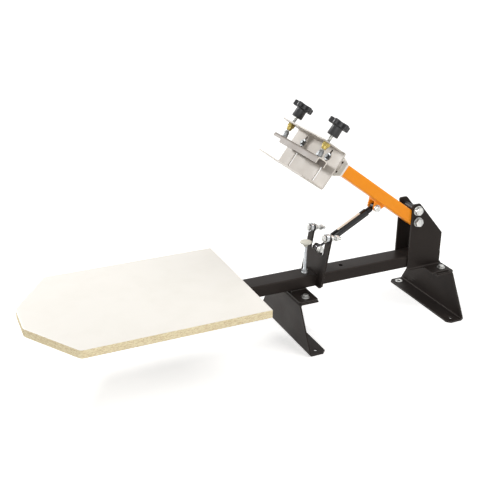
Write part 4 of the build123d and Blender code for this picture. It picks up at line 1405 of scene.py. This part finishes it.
@dataclass
class RegistrationGate:
    """Notched gate across the tube, its guide rollers and the spring's lower ears."""

    front_x: float = -145.8
    foot_z: float = 150.0
    lean: float = radians(9.5)
    sheet: float = 5.0
    up: float = 96.5
    half_pitch: float = 37.5
    gap: float = 0.3
    roller_radius: float = 11.0
    roller_width: float = 7.0
    roller_bore: float = 4.05
    bolt_behind: float = 31.0

    def at(self, behind: float, side: int, forward: bool) -> Placement:
        """Placement on a roller's line through the leaning plate.

        Args:
            behind: distance behind the plate's front face.
            side: one for the near roller, minus one for the far one.
            forward: it points to the front instead of the back.
        Returns:
            The placement.
        """
        rise = np.array([sin(self.lean), 0.0, cos(self.lean)])
        back = np.array([cos(self.lean), 0.0, -sin(self.lean)])
        foot = np.array([self.front_x, -side * self.half_pitch, self.foot_z])
        foot = foot + rise * (self.sheet * tan(self.lean) + self.up) + back * behind
        return Placement(foot, -back if forward else back, FAR)

    def roller(self) -> Surface:
        """Ball bearing: outer race, pressed shield in its groove, inner race."""
        w, r, bore = self.roller_width, self.roller_radius, self.roller_bore
        half = [(bore, 0.25), (bore + 0.25, 0.0), (6.4, 0.0), (6.5, 0.35), (8.7, 0.35),
                (8.8, 0.0), (r - 0.4, 0.0), (r, 0.4)]
        line = half + [(a, w - b) for a, b in half[::-1]]
        return turned(line, 0.0, 64, True, [0, 0, 1, 1, 1, 0, 0, 0] * 2)

    def build(self) -> None:
        """Gate, ears, rollers and their bolts, nuts and washers."""
        softened("registration_gate", "registration_gate_plate", Body.BASE, BLACK_COAT,
                 0.7)
        softened("spring_bracket", "spring_ears", Body.BASE, BLACK_COAT, 0.5)
        for side, body, name in zip(SIDES, (Body.ROLLER_FAR, Body.ROLLER_NEAR),
                                    ("far", "near")):
            shown(placed(self.roller(), self.at(-self.gap, side, True)),
                  f"guide_bearing_{name}", body, BEARING, f"roller_{name}",
                  second=SHIELD)
        head_at = -(self.roller_width + 2 * self.gap)
        one = M8.bolt(self.sheet + self.bolt_behind - head_at, self.bolt_behind)
        shown(placed(one, *(self.at(head_at, side, True) for side in SIDES)),
              "roller_bolts_m8", Body.BASE, ZINC, "roller_bolts", crease=50)
        nuts = placed(M8.hex_nut(), *(
            self.at(self.sheet + behind, side, False)
            for side in SIDES for behind in (M8.washer, self.bolt_behind / 2)
        ))
        flats = placed(M8.flat_washer(), *(
            self.at(self.sheet, side, False) for side in SIDES
        ))
        shown(nuts.joined(flats), "roller_nuts_m8", Body.BASE, ZINC, "roller_nuts")


@dataclass
class DownStop:
    """Threaded stop with a pale cap that the head link comes down on."""

    x: float = -166.3
    top: float = 232.5
    cap: float = 15.0
    cap_radius: float = 14.0
    tube_top: float = 150.0
    rod_end: float = 14.0
    flange: float = 8.1
    flange_height: float = 2.0
    slim_nut: float = 0.8

    def build(self) -> None:
        """Rod, cap and flange nut."""
        bottom = self.tube_top - self.rod_end
        rod = threaded(M8.radius, self.top - self.cap / 2 - bottom, M8.pitch)
        shown(placed(rod, Placement((self.x, 0, bottom), UP, (1, 0, 0))),
              "stop_rod_threaded", Body.DOWN_STOP, ROD_ZINC, "stop_rod", crease=60)
        r, h = self.cap_radius, self.cap
        cap = turned([(0, 0), (5.0, 0), (5.4, 3.0), (8.6, 6.6), (r - 0.6, 8.9),
                      (r, 9.8), (r - 0.3, 12.2), (r * 0.72, 13.8), (r * 0.35, 14.8),
                      (0, h)], 1.2, 64, steps=6)
        shown(placed(cap, Placement((self.x, 0, self.top - h), UP, (1, 0, 0))),
              "stop_cap_rubber", Body.DOWN_STOP, STOP_RUBBER, "stop_cap")
        r, bore = self.flange, M8.radius + 0.05
        flange = turned([(6.5, 0), (r, 0), (r, 1.0), (6.6, 2.3), (bore, 2.3),
                         (bore, 0)], 0.4, loop=True)
        nut = M8.hex_nut(M8.nut * self.slim_nut).lifted(self.flange_height)
        shown(placed(flange.joined(nut),
                     Placement((self.x, 0, self.tube_top), UP, (1, 0.2, 0))),
              "stop_flange_nut", Body.BASE, ROD_ZINC, "stop_nut")


# ======== Studio ========
@dataclass
class Studio:
    """Pale floor, soft lamps and air, and the photograph's camera."""

    camera_at: tuple[float, float, float] = (-1019.6, -1517.0, 991.2)
    azimuth: float = radians(-23.48)
    elevation: float = radians(22.59)
    roll: float = radians(0.05)
    focal_pixels: float = 803.4
    centre: tuple[float, float] = (230.23, 225.26)
    sensor: float = 36.0
    floor_half: float = 12.0
    floor_drop: float = 0.0005
    lamps_at: tuple[float, float, float] = (-0.1, 0.0, 0.2)
    air: float = 0.22

    def build(self) -> None:
        """Floor, lamps, world and camera."""
        self.floor()
        self.lamps()
        self.world()
        self.camera()
        bpy.context.scene.view_settings.view_transform = "Standard"

    def floor(self) -> None:
        """Level sheet of pale paper, which the camera and mirrors see lit to white."""
        half = self.floor_half
        mesh = bpy.data.meshes.new("studio_floor")
        mesh.from_pydata(
            [(-half, -half, 0), (half, -half, 0), (half, half, 0), (-half, half, 0)],
            [], [(0, 1, 2, 3)],
        )
        mesh.materials.append(FLOOR.material())
        sheet = linked("studio_floor", mesh)
        sheet.location = (0, 0, -self.floor_drop)

    def lamps(self) -> None:
        """A key from behind on the left, a broad fill by the camera and a top light."""
        for name, place, size, watts in (
            ("key", (-1.4, 1.82, 1.53), 0.35, 40.0),
            ("fill", (-1.3, -2.4, 1.4), 2.4, 33.0),
            ("top", (1.1, -0.8, 2.36), 1.8, 31.0),
        ):
            data = bpy.data.lights.new(name, "AREA")
            data.shape = "DISK"
            data.size = size
            data.energy = watts
            lamp = linked(name, data)
            lamp.location = place
            aim = Vector(self.lamps_at) - Vector(place)
            lamp.rotation_euler = aim.to_track_quat("-Z", "Y").to_euler()

    def world(self) -> None:
        """Dim even air for the object, which camera and mirrors see as white."""
        world = bpy.data.worlds.new("studio_air")
        bpy.context.scene.world = world
        world.use_nodes = True
        tree = world.node_tree
        tree.nodes.clear()
        dim, bright = (
            add_node(tree, "ShaderNodeBackground", {
                "Color": linear(WHITE), "Strength": strength,
            }).outputs[0]
            for strength in (self.air, 1.0)
        )
        mix = add_node(tree, "ShaderNodeMixShader", {
            0: seen_ray(tree), 1: dim, 2: bright,
        })
        add_node(tree, "ShaderNodeOutputWorld", {0: mix.outputs[0]})

    def camera(self) -> None:
        """Camera fitted to the photograph's straight edges."""
        a, e = self.azimuth, self.elevation
        back = Vector((sin(a) * cos(e), -cos(a) * cos(e), sin(e)))
        right = Vector((cos(a), sin(a), 0))
        axes = Matrix((right, back.cross(right), back)).transposed()
        turn = axes @ Matrix.Rotation(self.roll, 3, "Z")
        data = bpy.data.cameras.new("photo_camera")
        data.sensor_width = self.sensor
        data.lens = self.focal_pixels / PHOTO_PIXELS * self.sensor
        data.shift_x = (PHOTO_PIXELS / 2 - self.centre[0]) / PHOTO_PIXELS
        data.shift_y = (self.centre[1] - PHOTO_PIXELS / 2) / PHOTO_PIXELS
        data.clip_end = 50.0
        camera = linked("photo_camera", data)
        place = Matrix.Translation(Vector(self.camera_at) * MM)
        camera.matrix_world = place @ turn.to_4x4()
        bpy.context.scene.camera = camera


def main() -> None:
    """Builds the press in order, then the studio."""
    logging.basicConfig(level=logging.INFO)
    for part in (
        BenchFrame(), PalletBoard(), ArmPivot(), PrintArm(), ScreenClamp(),
        PressingBar(), GasSpring(), RegistrationGate(), DownStop(), Studio(),
    ):
        part.build()
        log.info("%s done", type(part).__name__)


if __name__ == "__main__":
    main()
